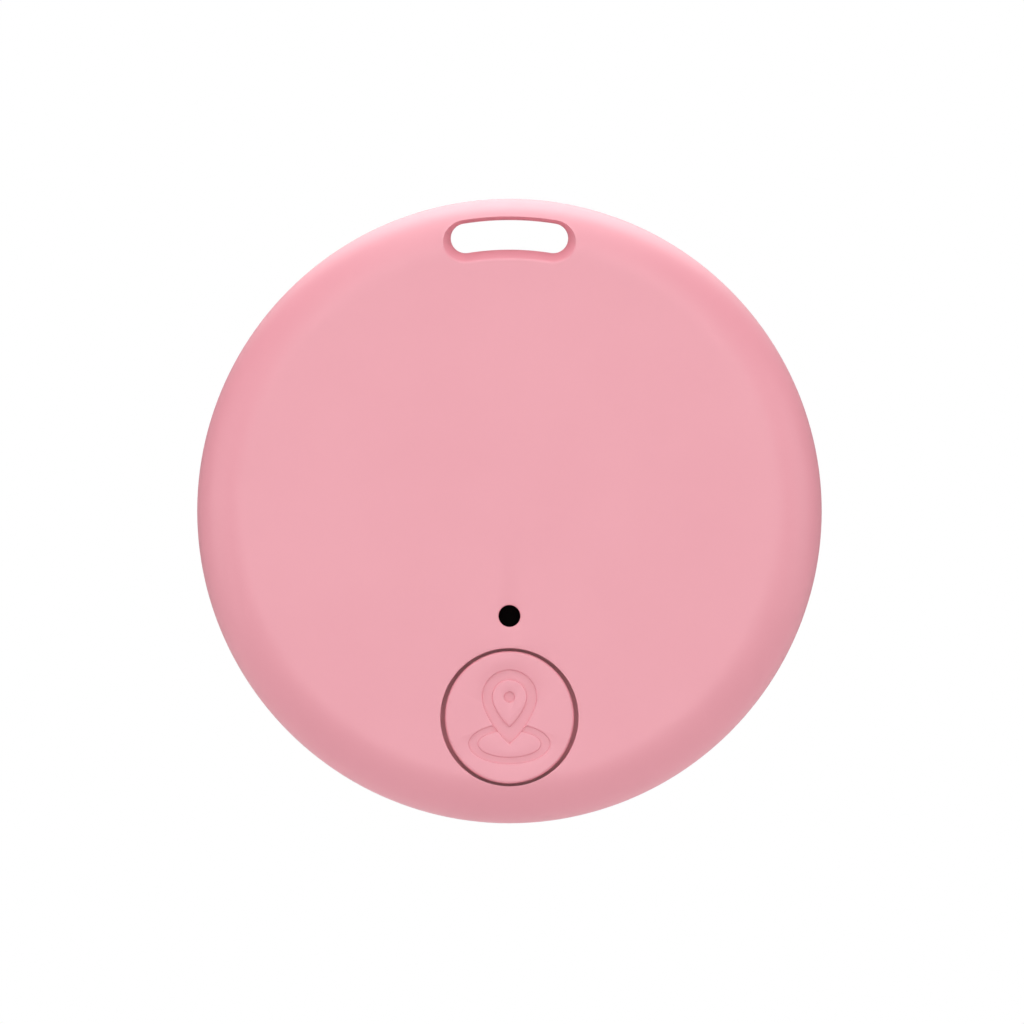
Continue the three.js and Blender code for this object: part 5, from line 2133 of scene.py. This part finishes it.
@dataclass
class CircuitBoard:
    """The round board: solder mask over copper, bare laminate edge, plated lands and holes."""

    slot: LanyardSlot
    node: str = "circuit_board"
    slot_gap: float = 0.3
    hole_gap: float = 0.1
    land: float = 0.02

    def lands(self, parts: Sequence[BoardPart]) -> list[Piece]:
        """Plated lands under the parts' ends, with a little solder standing beside each.

        Args:
            parts: The parts on the board.
        """
        rear = Box.of(self.node).high.y
        made = []
        for part in parts:
            if isinstance(part, (LeadlessChip, CrystalCan)):
                spots = [(0.0, 0.0, part.across + 0.5, part.along + 0.5)]
            elif part.across > part.along:
                reach = part.across / 2
                spots = [(side * (reach + 0.05), 0.0, 0.5, part.along * 1.1) for side in (-1, 1)]
            else:
                reach = part.along / 2
                spots = [(0.0, side * (reach + 0.05), part.across * 1.1, 0.5) for side in (-1, 1)]
            for x, z, width, length in spots:
                place, size = (x, rear + self.land / 2, z), (width, self.land, length)
                land = Bench.block("land", place, size, 0.008)
                dress(land, Paints.get("tin"))
                shift = Vector((part.middle.x, 0.0, part.middle.z))
                made.append(Bench.move(land, shift, part.angle))
        return made

    def build(self, parts: Sequence[BoardPart], front: FrontCase, holder: CellHolder) -> None:
        """Models the board and puts it in the frame.

        Args:
            parts: The parts on it.
            front: The front case, whose pins pass through it.
            holder: The cell holder, whose pegs pass through it.
        """
        box, axis = Box.of(self.node), self.slot.case
        bottom, top, radius = box.bottom, box.top, box.radius
        edge = 0.05
        profile = [
            (0.0, bottom),
            (radius - edge, bottom),
            (radius, bottom + edge),
            (radius, top - edge),
            (radius - edge, top),
            (0.0, top),
        ]
        piece = Bench.lathe("board", axis, profile, CASE_STEPS)
        margin = self.slot.boss_wall + self.slot_gap
        Bench.cut(piece, self.slot.wall("gap", bottom - CLEAR, top + CLEAR, margin))
        holes = [(front.rim - front.post_rim, a, front.pin_radius) for a in front.post_angles]
        peg_orbit = holder.outer + holder.peg_offset
        holes += [(peg_orbit, a, holder.peg_radius) for a in holder.peg_angles]
        for orbit, angle, pin in holes:
            drill = rod(pin + self.hole_gap, bottom - CLEAR, top + CLEAR)
            Bench.cut(piece, Bench.lathe("drill", axis.off(orbit, angle), drill, SMALL_STEPS))
        dress(piece, Paints.keep(SolderMask("board_laminate", axis)))
        Bench.paint(piece, Paints.get("laminate_edge"), lambda middle, normal: abs(normal.y) < 0.3)
        Bench.gather([piece, *self.lands(parts)])
        deliver(piece, "case", [self.node])


def board_parts() -> list[BoardPart]:
    """Every part on the board, as it stands there."""
    ceramic, black, white = "capacitor_ceramic", "black_resin", "antenna_ceramic"
    moulded = "tantalum_resin"
    parts: list[BoardPart] = [
        LeadlessChip("bluetooth_chip", "radio_chip", 180.0, 4.0, 4.0, black),
        CrystalCan("radio_crystal", "radio_crystal_can", 204.0, 1.6, 2.0, "crystal_can"),
        CrystalCan("clock_crystal", "clock_crystal_can", 157.0, 1.5, 3.2, "crystal_can"),
        ChipAntenna("chip_antenna", "antenna_block", 0.0, 2.0, 5.2, white, white, 0.4),
        EndCapped("matching_inductor", "match_coil", -8.0, 0.5, 1.0, "ferrite", "ferrite", 0.24),
        EndCapped("matching_capacitor", "match_capacitor", 8.0, 0.5, 1.0, ceramic, ceramic, 0.24),
        TantalumCapacitor("bulk_capacitor", "bulk_capacitor_block", 68.0, 1.6, 3.2, moulded),
        PowerInductor("boost_inductor", "boost_coil", 300.0, 3.0, 3.0, "ferrite"),
        DriveTransistor("drive_transistor", "transistor", 286.0, 1.3, 2.9, black),
    ]
    for number, angle in enumerate((115.0, 122.0, 232.0, 239.0), start=1):
        node, name = f"decoupling_capacitor_{number}", f"supply_capacitor_{number}"
        parts.append(EndCapped(node, name, angle, 1.6, 0.8, ceramic, ceramic, 0.32))
    for number, angle in enumerate((53.0, 58.0), start=1):
        node, name = f"resistor_{number}", f"film_resistor_{number}"
        parts.append(EndCapped(node, name, angle, 1.0, 0.5, black, white, 0.22, film=True))
    return parts


# --- push switch


@dataclass
class PushSwitch:
    """The switch under the button: base, snap dome, plunger and sheet cover."""

    well: float = 1.15
    floor: float = 0.15
    stem: float = 0.68
    foot: float = 0.08
    rise: float = 0.16
    dome_sheet: float = 0.05
    hole: float = 0.75
    tab: float = 0.1
    sheet: float = 0.08

    def base(self) -> None:
        """The moulded base with its well."""
        node = "switch_base"
        box, axis = Box.of(node), Axis.of(node)
        piece = Bench.block("switch_body", tuple(box.centre), tuple(box.high - box.low), 0.08)
        floor, top = box.bottom + self.floor, box.top + CLEAR
        Bench.cut(piece, Bench.lathe("well", axis, rod(self.well, floor, top), SMALL_STEPS))
        dress(piece, Paints.get("black_resin"))
        deliver(piece, "case", [node])

    def dome(self) -> None:
        """The thin snap dome."""
        node = "switch_dome"
        box, axis = Box.of(node), Axis.of(node)
        bottom, radius = box.bottom, box.radius
        shares = [step / 10 for step in range(11)]
        rise = [bottom + self.rise * (1.0 - share**2) for share in shares]
        under = [(radius * share, height) for share, height in zip(shares, rise)]
        over = [(radius * share, height + self.dome_sheet) for share, height in zip(shares, rise)]
        piece = Bench.lathe("snap_dome", axis, [*under, *reversed(over)], 64)
        dress(piece, Paints.get("spring_steel"))
        deliver(piece, "case", [node])

    def plunger(self) -> None:
        """The plunger that the button pushes."""
        node = "switch_plunger"
        box, axis = Box.of(node), Axis.of(node)
        bottom, top = box.bottom, box.top
        edge = 0.08
        profile = [
            (0.0, bottom),
            (box.radius - 0.02, bottom),
            (box.radius, bottom + 0.02),
            (box.radius, bottom + self.foot),
            (self.stem, bottom + self.foot),
            *bend(self.stem - edge, top - edge, edge, edge, 0, 90, 5),
            (0.0, top),
        ]
        piece = Bench.lathe("plunger", axis, profile, 64)
        dress(piece, Paints.get("tray_plastic"))
        deliver(piece, "plunger", [node])

    def cover(self) -> None:
        """The sheet cover, holed for the plunger and bent down over two sides."""
        node = "switch_cover"
        box, axis = Box.of(node), Axis.of(node)
        size, middle = box.high - box.low, box.centre
        piece = Bench.block("switch_plate", tuple(middle), tuple(size), 0.0)
        inner = (size.x - 2 * self.tab, size.y, size.z + CLEAR)
        place = (middle.x, middle.y + self.sheet, middle.z)
        Bench.cut(piece, Bench.block("room", place, inner))
        top = box.top
        drill = rod(self.hole, top - CLEAR, top + CLEAR)
        Bench.cut(piece, Bench.lathe("drill", axis, drill, SMALL_STEPS))
        Bench.round_edges(piece, 0.02, 2)
        dress(piece, Paints.get("spring_steel"))
        deliver(piece, "case", [node])

    def build(self) -> None:
        """Models the pieces and puts them in the frame."""
        self.base()
        self.dome()
        self.plunger()
        self.cover()


# --- studio


@dataclass
class Studio:
    """Floor, light and camera, in metres."""

    view_width: float = 0.0623
    view_right: float = 0.000155
    view_down: float = 0.00006
    distance: float = 0.35
    floor_drop: float = 0.062
    floor_size: float = 1.4
    sky: float = 0.2
    floor_tone: Place = (0.77, 0.77, 0.77)

    def floor(self) -> None:
        """A wide, plain pale floor under the hanging tag."""
        Bench.lay_down()
        low, high = cad_low, cad_high
        middle = ((low.x + high.x) / 2, (low.y + high.y) / 2, low.z - self.floor_drop)
        bpy.ops.mesh.primitive_plane_add(size=self.floor_size, location=middle)
        ground = bpy.context.active_object
        ground.name = "floor"
        graph = Graph("pale_floor")
        tone = graph.noise(60.0, 2.0)
        darker = tuple(share * 0.985 for share in self.floor_tone)
        paper = graph.mix(tone, self.floor_tone, darker)
        ground.data.materials.append(graph.finish(Base_Color=paper, Roughness=0.8))

    def lamp(self, name: str, place: Place, size: float, power: float, sheen: bool = False) -> None:
        """A square area lamp aimed at the middle of the tag.

        Args:
            name: The lamp's name.
            place: Where it hangs, from the tag's middle.
            size: Its side.
            power: Its power in watts.
            sheen: Whether it only shows as a soft reflection.
        """
        middle = (cad_low + cad_high) / 2
        bpy.ops.object.light_add(type="AREA", location=middle + Vector(place))
        lamp = bpy.context.active_object
        lamp.name = name
        lamp.data.size = size
        lamp.data.energy = power
        lamp.rotation_euler = (-Vector(place)).to_track_quat("-Z", "Y").to_euler()
        lamp.visible_diffuse = not sheen
        lamp.visible_camera = False

    def world(self) -> None:
        """An even white surround. It shows pure white and lights the tag more softly."""
        world = bpy.data.worlds.new("surround")
        bpy.context.scene.world = world
        world.use_nodes = True
        nodes, links = world.node_tree.nodes, world.node_tree.links
        nodes.clear()
        output = nodes.new("ShaderNodeOutputWorld")
        shown, light = nodes.new("ShaderNodeBackground"), nodes.new("ShaderNodeBackground")
        light.inputs["Strength"].default_value = self.sky
        for background in (shown, light):
            background.inputs["Color"].default_value = (1.0, 1.0, 1.0, 1.0)
        path, blend = nodes.new("ShaderNodeLightPath"), nodes.new("ShaderNodeMixShader")
        links.new(path.outputs["Is Camera Ray"], blend.inputs[0])
        links.new(light.outputs[0], blend.inputs[1])
        links.new(shown.outputs[0], blend.inputs[2])
        links.new(blend.outputs[0], output.inputs["Surface"])

    def camera(self) -> None:
        """A camera without perspective, level with the tag and square to its face."""
        middle = (cad_low + cad_high) / 2
        place = middle + Vector((self.view_right, -self.distance, -self.view_down))
        bpy.ops.object.camera_add(location=place, rotation=(math.pi / 2, 0.0, 0.0))
        camera = bpy.context.active_object
        camera.name = "camera"
        camera.data.type = "ORTHO"
        camera.data.ortho_scale = self.view_width
        camera.data.clip_start, camera.data.clip_end = 0.001, 20.0
        bpy.context.scene.camera = camera

    def build(self) -> None:
        """Sets the stage."""
        self.floor()
        self.world()
        self.lamp("key", (-0.02, -0.22, 0.34), 0.34, 0.78)
        self.lamp("overhead", (0.0, 0.0, 0.4), 0.4, 0.7)
        self.lamp("front_fill", (0.0, -0.5, 0.05), 0.5, 0.3)
        self.lamp("rear_fill", (0.0, 0.28, 0.3), 0.4, 0.65)
        self.lamp("left_fill", (-0.38, -0.15, 0.0), 0.36, 0.7)
        self.lamp("right_fill", (0.38, -0.15, 0.0), 0.36, 0.72)
        self.lamp("front_sheen", (0.0, -0.5, 0.05), 0.5, 2.6, sheen=True)
        self.lamp("top_sheen", (0.0, 0.28, 0.3), 0.4, 4.0, sheen=True)
        self.camera()
        bpy.context.scene.view_settings.view_transform = "Standard"


def main() -> None:
    """Builds every piece in order."""
    logging.basicConfig(level=logging.INFO, format="%(message)s")
    case_axis = Axis.of("front_shell")
    rim = Box.of("front_shell").radius
    slot = LanyardSlot(case_axis, rim)
    plastic = Paints.keep(CasePlastic("pink_plastic", case_axis, rim))
    Studio().build()
    front, holder, parts = FrontCase(slot, plastic), CellHolder(case_axis), board_parts()
    assemblies = (
        front,
        RearCover(slot, plastic),
        Seal(slot),
        PushButton(plastic),
        SoundPort(),
        Sounder(),
        CoinCell(),
        holder,
        PushSwitch(),
        *parts,
    )
    for assembly in assemblies:
        assembly.build()
    CircuitBoard(slot).build(parts, front, holder)


if __name__ == "__main__":
    main()
